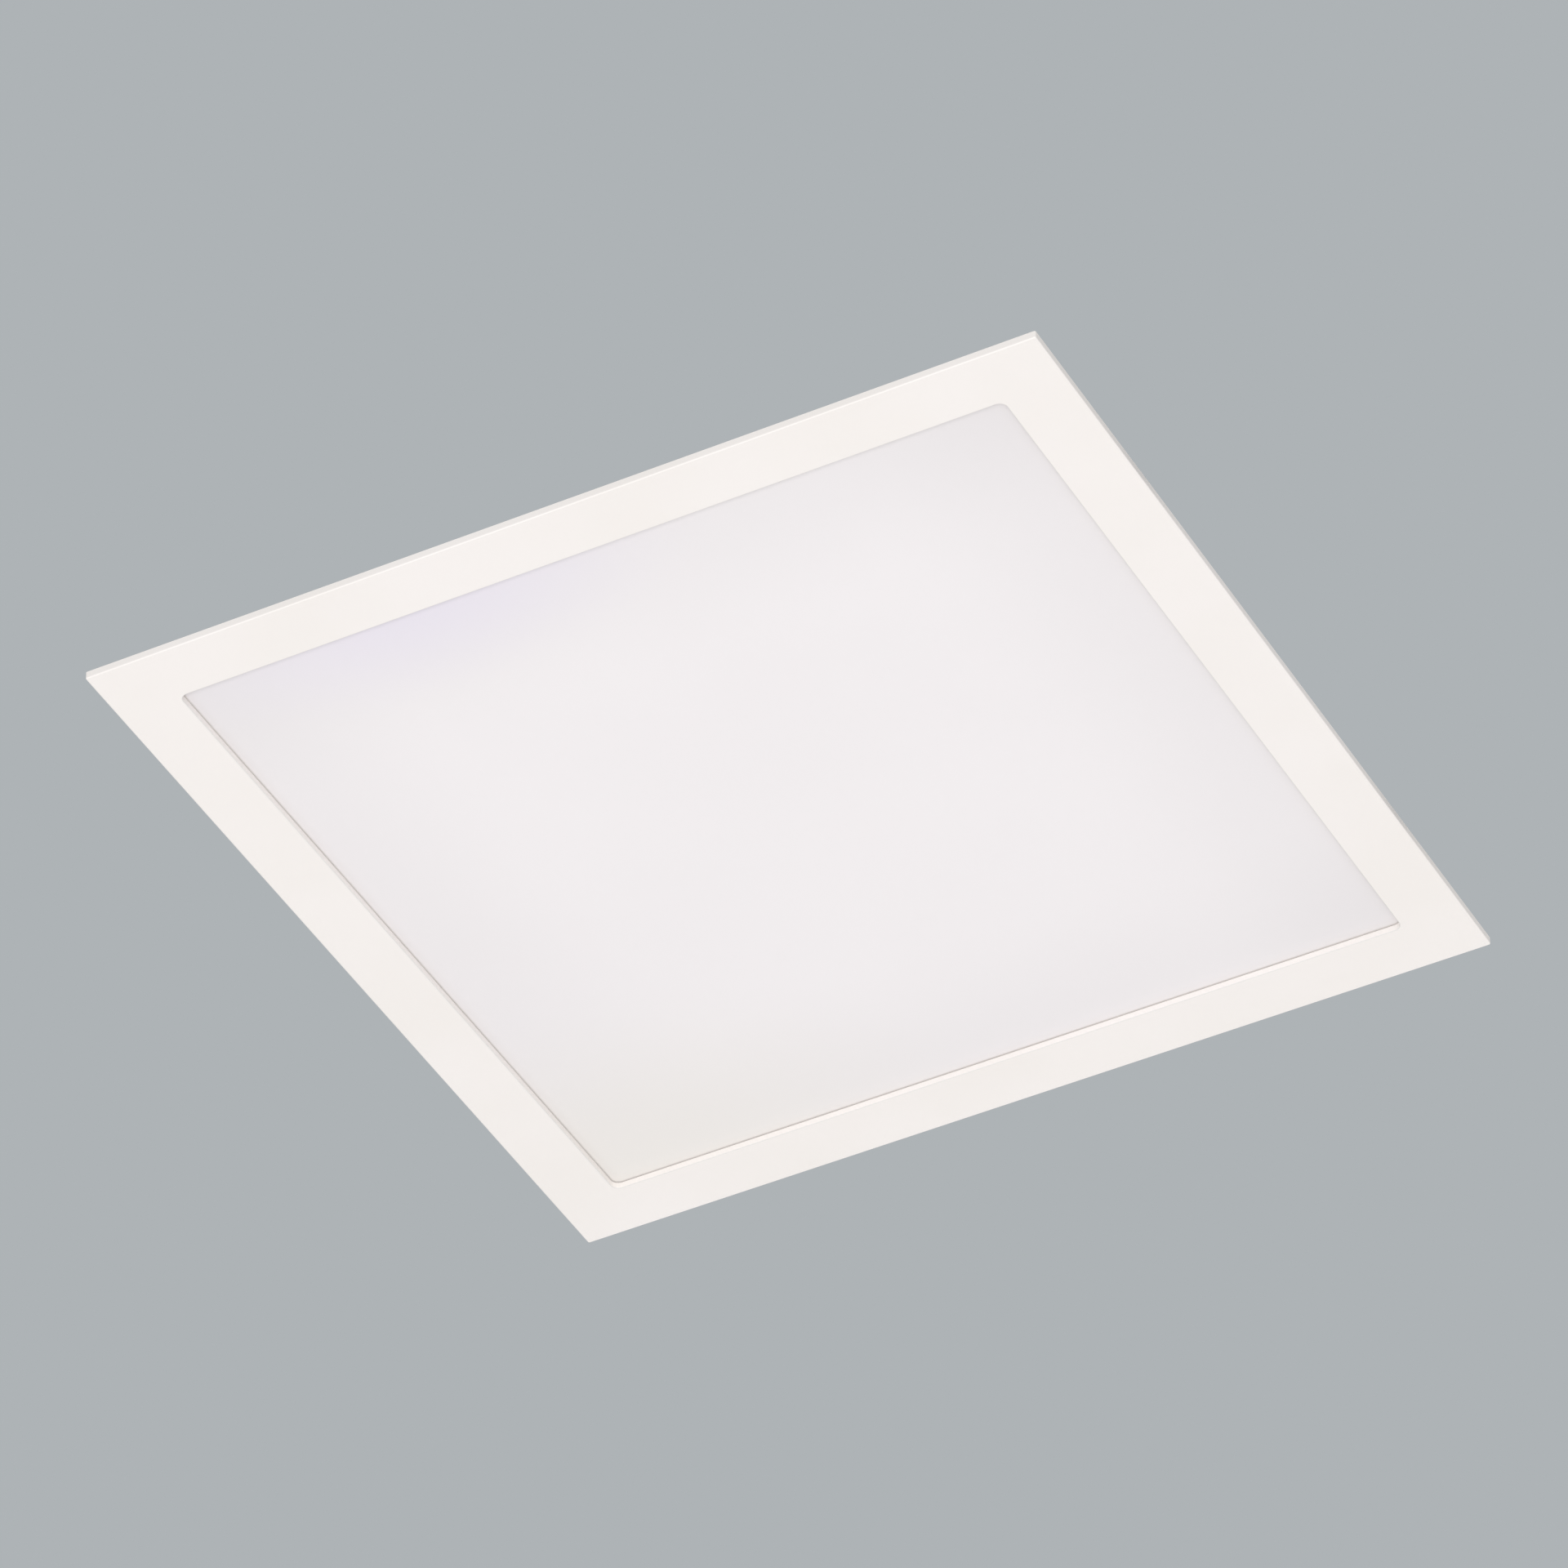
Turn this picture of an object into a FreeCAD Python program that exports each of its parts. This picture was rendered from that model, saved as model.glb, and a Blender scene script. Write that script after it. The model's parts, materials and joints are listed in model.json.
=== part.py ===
import FreeCAD, Part
import math
import os

import Sketcher

# Square recessed LED ceiling panel, in millimetres.
#
# The origin is the centre of the panel on the ceiling's lower surface, and +Z points up into the ceiling
# void. The lip of the frame hangs below z = 0. The neck, the driver and the four spring clips stand above
# it. The right side is +X and the rear side is +Y.

Vector = FreeCAD.Vector
Rotation = FreeCAD.Rotation
Placement = FreeCAD.Placement

SIZES = {
    # Front frame
    "panel_side": 300.0,
    "border_width": 19.5,
    "lip_thickness": 2.4,
    "lip_edge_radius": 0.4,
    "panel_corner_margin": 0.2,
    "opening_corner_radius": 2.5,
    "opening_edge_radius": 0.25,
    "ledge_chamfer": 0.4,
    "neck_inset": 12.0,
    "neck_wall": 1.8,
    "neck_corner_radius": 4.0,
    "boss_radius": 2.6,
    "boss_inner_margin": 0.6,
    "boss_corner_distance": 28.0,
    "boss_floor": 0.8,
    # Optical stack
    "stack_clearance": 0.3,
    "diffuser_thickness": 1.5,
    "guide_thickness": 3.0,
    "guide_corner_radius": 0.6,
    "guide_gap": 0.2,
    "film_thickness": 0.3,
    "foam_thickness": 3.0,
    # Back cover
    "cover_thickness": 0.8,
    "cover_setback": 0.2,
    "cover_corner_radius": 5.0,
    "bead_inset": 36.0,
    "bead_end_gap": 27.0,
    "bead_width": 6.0,
    "bead_flat": 1.2,
    "bead_height": 0.8,
    "bead_slope": 20.0,
    # LED boards
    "tape_thickness": 0.2,
    "board_thickness": 1.0,
    "board_rise": 0.1,
    "board_top_gap": 1.2,
    "board_corner_gap": 4.0,
    "led_depth": 0.8,
    "led_width": 3.5,
    "led_edge_margin": 0.1,
    "led_end_margin": 6.3,
    "led_count": 30,
    "link_thickness": 0.3,
    "link_width": 0.8,
    "link_gap": 0.6,
    "link_overlap": 3.0,
    "link_top_margin": 0.3,
    # Leads from the driver to the LED boards
    "lead_radius": 0.65,
    "lead_gap": 0.5,
    "lead_bend_radius": 3.5,
    "lead_lift": 0.55,
    "lead_inset": 4.0,
    "lead_offset": 1.2,
    "lead_slot_room": 0.65,
    "lead_grommet_room": 0.85,
    "lead_grommet_wall": 1.1,
    "lead_grommet_lip": 1.0,
    "lead_grommet_lip_thickness": 0.8,
    "lead_grommet_nose": 0.2,
    "lead_hole_room": 0.7,
    # Driver housing
    "driver_length": 150.0,
    "driver_width": 46.0,
    "driver_cover_height": 8.0,
    "driver_headroom": 1.2,
    "driver_wall": 1.6,
    "driver_corner_radius": 3.0,
    "driver_edge_radius": 1.2,
    "driver_split_room": 4.0,
    "driver_split_gap": 0.3,
    "driver_post_radius": 2.8,
    "driver_post_inset_x": 4.0,
    "driver_post_inset_y": 6.0,
    "driver_column_wall": 0.9,
    "driver_foot_length": 11.0,
    "driver_foot_width": 12.0,
    "driver_foot_thickness": 2.4,
    "driver_foot_inset": 9.0,
    "counterbore_depth": 2.0,
    "counterbore_clearance": 0.3,
    # Circuit board
    "standoff_height": 3.0,
    "standoff_radius": 2.5,
    "standoff_inset": 8.0,
    "standoff_edge": 2.9,
    "circuit_thickness": 1.6,
    "circuit_side_gap": 0.4,
    "circuit_end_gap": 3.4,
    "wiring_room": 15.4,
    # Mains terminals
    "terminal_screw_gap": 1.0,
    "terminal_side_wall": 1.0,
    "terminal_depth": 14.0,
    "terminal_height": 13.0,
    "terminal_entry_radius": 1.9,
    "terminal_entry_depth": 9.0,
    "terminal_entry_level": 4.0,
    "terminal_well_radius": 2.3,
    "terminal_well_depth": 4.5,
    "terminal_well_clearance": 0.3,
    "terminal_screw_drop": 1.9,
    # Components on the circuit board
    "component_gap": 3.0,
    "component_side_gap": 2.0,
    "fuse_radius": 4.2,
    "fuse_height": 7.7,
    "varistor_radius": 4.5,
    "varistor_thickness": 3.6,
    "film_capacitor_width": 12.0,
    "film_capacitor_depth": 6.0,
    "film_capacitor_height": 11.0,
    "choke_radius": 6.0,
    "choke_height": 12.0,
    "choke_flange": 1.5,
    "choke_waist": 0.8,
    "rectifier_width": 8.0,
    "rectifier_depth": 6.5,
    "rectifier_height": 3.2,
    "transistor_width": 4.6,
    "transistor_depth": 10.0,
    "transistor_height": 12.0,
    "input_can_radius": 5.5,
    "input_can_height": 14.5,
    "core_width": 22.0,
    "core_depth": 6.0,
    "core_height": 15.0,
    "core_rim": 2.8,
    "core_leg_width": 5.6,
    "winding_depth": 17.0,
    "winding_gap": 0.2,
    "winding_corner_radius": 2.0,
    "output_can_radius": 4.0,
    "output_can_height": 11.5,
    # Mains cable inlet
    "inlet_bore": 3.6,
    "inlet_wall": 1.4,
    "inlet_lip": 1.2,
    "inlet_lip_thickness": 1.2,
    "inlet_nose_length": 3.0,
    "inlet_nose_wall": 0.8,
    "inlet_rise": 1.0,
    # Screws and rivets
    "thread_clearance": 0.05,
    "screw_clearance": 0.2,
    "panel_screw_radius": 1.2,
    "panel_screw_head": 2.3,
    "panel_screw_head_height": 1.3,
    "panel_screw_end_gap": 1.3,
    "case_screw_radius": 1.3,
    "case_screw_head": 2.4,
    "case_screw_head_height": 1.5,
    "case_screw_end_gap": 6.4,
    "mount_screw_radius": 1.5,
    "mount_screw_head": 2.8,
    "mount_screw_head_height": 1.7,
    "mount_screw_tail": 1.6,
    "circuit_screw_radius": 1.0,
    "circuit_screw_head": 1.9,
    "circuit_screw_head_height": 1.2,
    "circuit_screw_end_gap": 0.6,
    "rivet_radius": 1.6,
    "rivet_head": 3.0,
    "rivet_head_height": 1.2,
    "rivet_tail": 2.6,
    "rivet_tail_height": 1.2,
    "rivet_tail_slope": 0.5,
    # Spring clips
    "clip_corner_distance": 53.0,
    "clip_inset": 4.0,
    "clip_sheet": 1.0,
    "clip_width": 20.0,
    "clip_edge_margin": 1.5,
    "clip_ear_radius": 3.6,
    "clip_ear_setback": 0.5,
    "clip_rivet_room": 1.0,
    "pin_radius": 1.5,
    "pin_head_radius": 2.6,
    "pin_head_thickness": 0.9,
    "pin_clearance": 0.05,
    "arm_clearance": 0.08,
    "arm_rest_angle": 12.0,
    "arm_stop_gap": 0.35,
    "arm_sweep_room": 0.4,
    "arm_side_gap": 0.6,
    "arm_length": 44.0,
    "arm_tail": 3.0,
    "arm_notch_end": 0.6,
    "arm_notch_room": 0.6,
    "arm_sheet": 0.8,
    "arm_tip_width": 12.0,
    "arm_taper_start": 8.0,
    "arm_tip_radius": 2.5,
    "arm_ear_radius": 3.2,
    "arm_flange_height": 1.6,
    "arm_flange_setback": 1.0,
    "sleeve_length": 15.0,
    "sleeve_shoulder": 5.0,
    "sleeve_wall": 1.0,
    "sleeve_nose": 1.6,
    "sleeve_corner_radius": 3.0,
    "sleeve_clearance": 0.05,
    "spring_wire_radius": 0.5,
    "spring_pin_gap": 0.35,
    "spring_web_gap": 0.35,
    "spring_turn_gap": 0.55,
    "spring_turns": 4,
    "spring_arm_leg": 12.0,
    "spring_base_leg": 8.5,
    "spring_leg_bend": 1.5,
    "spring_seat_gap": 0.05,
}

# The least room that the spring's wire keeps to itself
ROOM_BETWEEN_TURNS = 0.4

# Cross recess of a screw, as shares of its head's radius and height
RECESS_REACH = 0.55
RECESS_HALF_WIDTH = 0.13
RECESS_DEPTH = 0.55

# Rounding of a head's or a can's top edge, as a share of its height or radius
HEAD_ROUNDING = 0.5
RIVET_ROUNDING = 0.8
CAN_ROUNDING = 0.12


class Length:
    """A size known both as a number and as the sheet expression that gives it."""

    def __init__(self, number, text):
        self.number = number
        self.text = text

    def __add__(self, other):
        other = as_length(other)
        return Length(self.number + other.number, f"({self.text} + {other.text})")

    def __sub__(self, other):
        other = as_length(other)
        return Length(self.number - other.number, f"({self.text} - {other.text})")

    def __mul__(self, other):
        other = as_length(other)
        return Length(self.number * other.number, f"({self.text} * {other.text})")

    def __truediv__(self, other):
        other = as_length(other)
        return Length(self.number / other.number, f"({self.text} / {other.text})")

    def __neg__(self):
        return Length(-self.number, f"(-1 * {self.text})")

    __radd__ = __add__
    __rmul__ = __mul__


def as_length(value):
    if isinstance(value, Length):
        return value
    return Length(float(value), f"({float(value)})")


def larger(first, second):
    return Length(max(first.number, second.number), f"max({first.text}; {second.text})")


def diagonal(first, second):
    """The length of the straight line across two square sides."""
    return Length(math.hypot(first.number, second.number), f"hypot({first.text}; {second.text})")


def sine(angle):
    return Length(math.sin(math.radians(angle.number)), f"sin({angle.text} * 1 deg)")


def cosine(angle):
    return Length(math.cos(math.radians(angle.number)), f"cos({angle.text} * 1 deg)")


def make_sheet():
    """The spreadsheet with one named cell for each driving size."""
    table = doc.addObject("Spreadsheet::Sheet", "Sizes")
    for row, (alias, value) in enumerate(SIZES.items(), start=1):
        table.set(f"A{row}", alias)
        table.set(f"B{row}", str(value))
        table.setAlias(f"B{row}", alias)
    doc.recompute()
    return table


def size(alias):
    return Length(float(sheet.get(alias)), f"Sizes.{alias}")


doc = FreeCAD.newDocument("ceiling_panel")
sheet = make_sheet()

# Distances from the panel's middle, from the outside inwards
half_panel = size("panel_side") / 2
half_opening = half_panel - size("border_width")
half_neck = half_panel - size("neck_inset")
half_cavity = half_neck - size("neck_wall")
cavity_corner = size("neck_corner_radius") - size("neck_wall")
boss_line = half_cavity + size("boss_inner_margin") + size("boss_radius")
boss_step = half_neck - size("boss_corner_distance")
half_cover = boss_line + size("boss_radius") - size("cover_setback")
board_back = half_cavity - size("tape_thickness")
board_face = board_back - size("board_thickness")
half_board = board_face - size("board_corner_gap")
led_face = board_face - size("led_depth")
half_guide = led_face - size("guide_gap")
half_diffuser = half_cavity - size("stack_clearance")

# Levels above the ceiling plane, from the ledge upwards
diffuser_top = size("diffuser_thickness")
guide_top = diffuser_top + size("guide_thickness")
film_top = guide_top + size("film_thickness")
neck_top = film_top + size("foam_thickness")
cover_top = neck_top + size("cover_thickness")
board_bottom = diffuser_top + size("board_rise")
board_top = neck_top - size("board_top_gap")
led_bottom = diffuser_top + size("led_edge_margin")
led_top = guide_top - size("led_edge_margin")

# Levels in the driver
driver_floor = cover_top + size("driver_wall")
circuit_bottom = driver_floor + size("standoff_height")
circuit_top = circuit_bottom + size("circuit_thickness")
driver_ceiling = circuit_top + size("core_height") + size("driver_headroom")
driver_top = driver_ceiling + size("driver_wall")
driver_joint = driver_top - size("driver_cover_height")
foot_top = cover_top + size("driver_foot_thickness")
inlet_level = (cover_top + driver_joint) / 2 + size("inlet_rise")

# Places in the driver
half_driver = size("driver_width") / 2
driver_end = size("driver_length") / 2
post_x = half_driver - size("driver_post_inset_x")
post_rear = driver_end - size("driver_post_inset_y")
half_circuit = post_x - size("driver_post_radius") - size("circuit_side_gap")
circuit_front = size("driver_wall") + size("wiring_room") - driver_end
circuit_rear = driver_end - size("driver_wall") - size("circuit_end_gap")
standoff_x = half_circuit - size("standoff_edge")
terminal_rear = circuit_front + size("terminal_depth")
half_terminal = standoff_x - size("circuit_screw_head") - size("terminal_screw_gap")
driver_split = terminal_rear + size("driver_split_room")
foot_x = half_driver - size("driver_foot_inset")
foot_y = driver_end + size("driver_foot_length") / 2

# Leads and their grommet
lead_x = size("lead_radius") + size("lead_gap") / 2
lead_reach = lead_x + size("lead_radius")
lead_place = circuit_rear - size("lead_inset")
lead_level = film_top + size("lead_lift") + size("lead_radius")
lead_grommet_bore = lead_reach + size("lead_grommet_room")
lead_grommet_seat = lead_grommet_bore + size("lead_grommet_wall")
lead_grommet_flange = lead_grommet_seat + size("lead_grommet_lip")
inlet_seat = size("inlet_bore") + size("inlet_wall")

# Spring clips, measured from the pin's axis
coil_radius = size("pin_radius") + size("spring_pin_gap") + size("spring_wire_radius")
coil_pitch = size("spring_wire_radius") * 2 + size("spring_turn_gap")
coil_turns = size("spring_turns") - size("arm_rest_angle") / 360
coil_half_width = coil_pitch * coil_turns / 2
arm_drop = coil_radius + size("spring_wire_radius") + size("spring_web_gap") + size("arm_sheet")
base_drop = diagonal(size("arm_tail"), arm_drop) + size("arm_sweep_room")
base_bottom = base_drop + size("clip_sheet")
stop_reach = (base_drop - size("arm_stop_gap")) * cosine(size("arm_rest_angle")) - arm_drop
base_front = stop_reach / sine(size("arm_rest_angle"))
ear_foot = base_front - size("clip_ear_setback")
half_clip = size("clip_width") / 2
half_arm_root = half_clip - size("clip_sheet") - size("arm_side_gap")
half_arm_tip = size("arm_tip_width") / 2
sleeve_start = size("arm_length") - size("sleeve_length")
arm_taper_end = sleeve_start - size("sleeve_shoulder")
rivet_back = size("spring_base_leg") + size("clip_rivet_room") + size("rivet_head")
base_back = rivet_back + size("rivet_head") + size("clip_edge_margin")
rivet_side = half_clip - size("rivet_head") - size("clip_edge_margin")
clip_x = half_neck - size("clip_inset")
clip_y = half_neck - size("clip_corner_distance")
rivet_x = clip_x - rivet_back
pin_level = cover_top + base_bottom

UPRIGHT = Rotation()
SIDES = {"right": 0, "rear": 90, "left": 180, "front": 270}
CLIPS = {
    "right_front": (1, -1),
    "right_rear": (1, 1),
    "left_rear": (-1, 1),
    "left_front": (-1, -1),
}

parts = []


def bind(thing, path, value):
    """Ties a property to the sheet."""
    thing.setExpression(path, as_length(value).text)


def keep(thing, name):
    """Marks an object as a sub-part that is written out under this name."""
    thing.Label = name
    parts.append(thing)
    return thing


def new_body(name):
    body = doc.addObject("PartDesign::Body", name)
    body.AllowCompound = True
    return body


def origin_feature(body, role):
    return next(item for item in body.Origin.OriginFeatures if item.Role == role)


def add_sketch(body, name, plane="XY", offset=0):
    """A sketch on one of the body's own planes, moved along that plane's normal.

    The normals are +Z for XY, -Y for XZ and +X for YZ.
    """
    sketch = body.newObject("Sketcher::SketchObject", name)
    sketch.AttachmentSupport = [(origin_feature(body, plane + "_Plane"), "")]
    sketch.MapMode = "FlatFace"
    bind(sketch, "AttachmentOffset.Base.z", offset)
    return sketch


def fix_point(sketch, element, end, x, y):
    """Holds one point of the sketch at two bound coordinates."""
    for kind, value in (("DistanceX", as_length(x)), ("DistanceY", as_length(y))):
        index = sketch.addConstraint(Sketcher.Constraint(kind, -1, 1, element, end, value.number))
        bind(sketch, f"Constraints[{index}]", value)


def fix_radius(sketch, element, radius):
    index = sketch.addConstraint(Sketcher.Constraint("Radius", element, radius.number))
    bind(sketch, f"Constraints[{index}]", radius)


def add_polygon(sketch, points):
    """A closed outline of straight lines with every corner bound."""
    first = sketch.GeometryCount
    corners = [Vector(as_length(x).number, as_length(y).number, 0) for x, y in points]
    count = len(points)
    for i in range(count):
        sketch.addGeometry(Part.LineSegment(corners[i], corners[(i + 1) % count]), False)
    for i in range(count):
        following = (i + 1) % count
        sketch.addConstraint(Sketcher.Constraint("Coincident", first + i, 2, first + following, 1))
    for i, (x, y) in enumerate(points):
        fix_point(sketch, first + i, 1, x, y)


def add_rectangle(sketch, x0, x1, y0, y1):
    add_polygon(sketch, [(x0, y0), (x1, y0), (x1, y1), (x0, y1)])


def add_circle(sketch, x, y, radius):
    x, y, radius = as_length(x), as_length(y), as_length(radius)
    circle = Part.Circle(Vector(x.number, y.number, 0), Vector(0, 0, 1), radius.number)
    element = sketch.addGeometry(circle, False)
    fix_radius(sketch, element, radius)
    fix_point(sketch, element, 3, x, y)


def add_arc(sketch, centre, radius, start_angle, end_angle):
    circle = Part.Circle(Vector(centre[0], centre[1], 0), Vector(0, 0, 1), radius)
    return sketch.addGeometry(Part.ArcOfCircle(circle, start_angle, end_angle), False)


def add_rounded_rectangle(sketch, x0, x1, y0, y1, radius):
    """A closed rectangle with four equal rounded corners, drawn anticlockwise from the lower side."""
    x0, x1, y0, y1, radius = (as_length(value) for value in (x0, x1, y0, y1, radius))
    left, right, low, high, r = x0.number, x1.number, y0.number, y1.number, radius.number
    quarter = math.pi / 2
    lines = []
    arcs = []
    ends = [
        ((left + r, low), (right - r, low)),
        ((right, low + r), (right, high - r)),
        ((right - r, high), (left + r, high)),
        ((left, high - r), (left, low + r)),
    ]
    centres = [(right - r, low + r), (right - r, high - r), (left + r, high - r), (left + r, low + r)]
    for i in range(4):
        start, stop = ends[i]
        line = Part.LineSegment(Vector(*start, 0), Vector(*stop, 0))
        lines.append(sketch.addGeometry(line, False))
        arcs.append(add_arc(sketch, centres[i], r, (i - 1) * quarter, i * quarter))
    for i in range(4):
        following = lines[(i + 1) % 4]
        sketch.addConstraint(Sketcher.Constraint("Tangent", lines[i], 2, arcs[i], 1))
        sketch.addConstraint(Sketcher.Constraint("Tangent", arcs[i], 2, following, 1))
    for i in (0, 2):
        sketch.addConstraint(Sketcher.Constraint("Horizontal", lines[i]))
        sketch.addConstraint(Sketcher.Constraint("Vertical", lines[i + 1]))
    for i in range(1, 4):
        sketch.addConstraint(Sketcher.Constraint("Equal", arcs[0], arcs[i]))
    fix_radius(sketch, arcs[0], radius)
    for kind, line, value in (
        ("DistanceY", lines[0], y0),
        ("DistanceX", lines[1], x1),
        ("DistanceY", lines[2], y1),
        ("DistanceX", lines[3], x0),
    ):
        index = sketch.addConstraint(Sketcher.Constraint(kind, -1, 1, line, 1, value.number))
        bind(sketch, f"Constraints[{index}]", value)


def add_square(sketch, half, radius):
    add_rounded_rectangle(sketch, -half, half, -half, half, radius)


def pad(body, sketch, height, reverse=False, slope=0, both_ways=False):
    feature = body.newObject("PartDesign::Pad", sketch.Name + "_pad")
    feature.Profile = sketch
    feature.Reversed = reverse
    feature.Midplane = both_ways
    bind(feature, "Length", height)
    bind(feature, "TaperAngle", slope)
    doc.recompute()
    return feature


def pocket(body, sketch, depth, reverse=False):
    """A pocket that runs against the sketch's normal, or along it when reversed."""
    before = body.Shape.Volume
    feature = body.newObject("PartDesign::Pocket", sketch.Name + "_pocket")
    feature.Profile = sketch
    feature.Reversed = reverse
    bind(feature, "Length", depth)
    doc.recompute()
    if body.Shape.Volume >= before:
        raise RuntimeError(f"{body.Label}: {feature.Name} removed nothing")
    return feature


def revolve(body, sketch):
    feature = body.newObject("PartDesign::Revolution", sketch.Name + "_turned")
    feature.Profile = sketch
    feature.ReferenceAxis = (sketch, ["V_Axis"])
    feature.Angle = 360
    doc.recompute()
    return feature


def polar_pattern(body, originals, count):
    feature = body.newObject("PartDesign::PolarPattern", "around")
    feature.Originals = originals
    feature.Axis = (origin_feature(body, "Z_Axis"), [""])
    feature.Angle = 360
    feature.Occurrences = count
    body.Tip = feature
    doc.recompute()
    return feature


def mirrored(body, originals, plane):
    feature = body.newObject("PartDesign::Mirrored", "mirrored")
    feature.Originals = originals
    feature.MirrorPlane = (origin_feature(body, plane + "_Plane"), [""])
    body.Tip = feature
    doc.recompute()
    return feature


def soften(body, kind, test, value):
    """Rounds or bevels the edges of the body's last feature whose boxes pass the test."""
    base = body.Tip
    names = []
    for number, edge in enumerate(base.Shape.Edges, start=1):
        if test(edge.BoundBox):
            names.append(f"Edge{number}")
    if not names:
        raise RuntimeError(f"{body.Label}: no edge to soften")
    feature = body.newObject(f"PartDesign::{kind}", kind.lower())
    feature.Base = (base, names)
    bind(feature, "Radius" if kind == "Fillet" else "Size", value)
    body.Tip = feature
    doc.recompute()
    return feature


def at_level(box, level):
    """Whether an edge lies flat at this height."""
    close = 1e-4
    number = as_length(level).number
    return abs(box.ZMin - number) < close and abs(box.ZMax - number) < close


def reach(box):
    """The furthest that an edge gets from the Z axis, measured square."""
    return max(abs(box.XMin), abs(box.XMax), abs(box.YMin), abs(box.YMax))


def about_z(degrees):
    return Rotation(Vector(0, 0, 1), degrees)


def copies(name, master, places):
    """One sub-part made of separate copies of a master, each at bound coordinates and a rotation."""
    links = []
    for x, y, z, rotation in places:
        link = doc.addObject("App::Link", name + "_copy")
        link.LinkedObject = master
        link.Placement = Placement(Vector(), rotation)
        bind(link, "Placement.Base.x", x)
        bind(link, "Placement.Base.y", y)
        bind(link, "Placement.Base.z", z)
        links.append(link)
    group = doc.addObject("Part::Compound", name)
    group.Links = links
    doc.recompute()
    return keep(group, name)


def place(body, x, y, z):
    bind(body, "Placement.Base.x", x)
    bind(body, "Placement.Base.y", y)
    bind(body, "Placement.Base.z", z)


def plate(name, half, radius, bottom, thickness):
    """A square plate with rounded corners."""
    body = keep(new_body(name), name)
    sketch = add_sketch(body, name + "_outline", offset=bottom)
    add_square(sketch, half, radius)
    pad(body, sketch, thickness)
    return body


def front_frame():
    """One casting: the lip with its opening, the neck wall behind it and twelve screw bosses."""
    body = keep(new_body("front_frame"), "front_frame")
    lip = add_sketch(body, "lip_outline")
    add_square(lip, half_panel, size("lip_edge_radius") + size("panel_corner_margin"))
    add_square(lip, half_opening, size("opening_corner_radius"))
    pad(body, lip, size("lip_thickness"), reverse=True)

    neck = add_sketch(body, "neck_outline")
    add_square(neck, half_neck, size("neck_corner_radius"))
    add_square(neck, half_cavity, cavity_corner)
    pad(body, neck, neck_top)

    bosses = add_sketch(body, "boss_outline")
    holes = add_sketch(body, "boss_holes", offset=neck_top)
    for step in (-1, 0, 1):
        y = boss_step * step
        add_circle(bosses, boss_line, y, size("boss_radius"))
        add_circle(holes, boss_line, y, size("panel_screw_radius") + size("thread_clearance"))
    boss = pad(body, bosses, neck_top)
    hole = pocket(body, holes, neck_top - size("boss_floor"))
    polar_pattern(body, [boss, hole], len(SIDES))

    face = -size("lip_thickness")
    middle = (half_panel + half_opening).number / 2
    soften(
        body,
        "Fillet",
        lambda box: at_level(box, face) and reach(box) > middle,
        size("lip_edge_radius"),
    )
    soften(
        body,
        "Fillet",
        lambda box: at_level(box, face) and reach(box) < middle,
        size("opening_edge_radius"),
    )
    soften(
        body,
        "Chamfer",
        lambda box: at_level(box, 0) and reach(box) < (half_opening.number + half_cavity.number) / 2,
        size("ledge_chamfer"),
    )


def optical_stack():
    """Diffuser, light guide, reflecting film and foam, laid on the ledge one on the other."""
    corner = cavity_corner - size("stack_clearance")
    plate("opal_diffuser", half_diffuser, corner, 0, size("diffuser_thickness"))
    guide_corner = size("guide_corner_radius")
    plate("light_guide_plate", half_guide, guide_corner, diffuser_top, size("guide_thickness"))
    plate("reflector_sheet", half_guide, guide_corner, guide_top, size("film_thickness"))

    foam = plate("foam_pad", half_guide, guide_corner, film_top, size("foam_thickness"))
    room = add_sketch(foam, "foam_holes", offset=neck_top)
    for x_side, y_side in CLIPS.values():
        for step in (-1, 1):
            y = clip_y * y_side + rivet_side * step
            add_circle(room, rivet_x * x_side, y, size("rivet_tail") + size("stack_clearance"))
        screw_room = size("mount_screw_radius") + size("stack_clearance")
        add_circle(room, foot_x * x_side, foot_y * y_side, screw_room)
    pocket(foam, room, size("foam_thickness"))
    slot = add_sketch(foam, "lead_slot", offset=neck_top)
    half_slot = lead_reach + size("lead_slot_room")
    add_rectangle(slot, -half_slot, half_slot, lead_place, half_guide + 1)
    pocket(foam, slot, size("foam_thickness"))
    drop = add_sketch(foam, "lead_drop", offset=neck_top)
    add_circle(drop, 0, lead_place, lead_grommet_flange + size("stack_clearance"))
    pocket(foam, drop, size("foam_thickness"))


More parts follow.
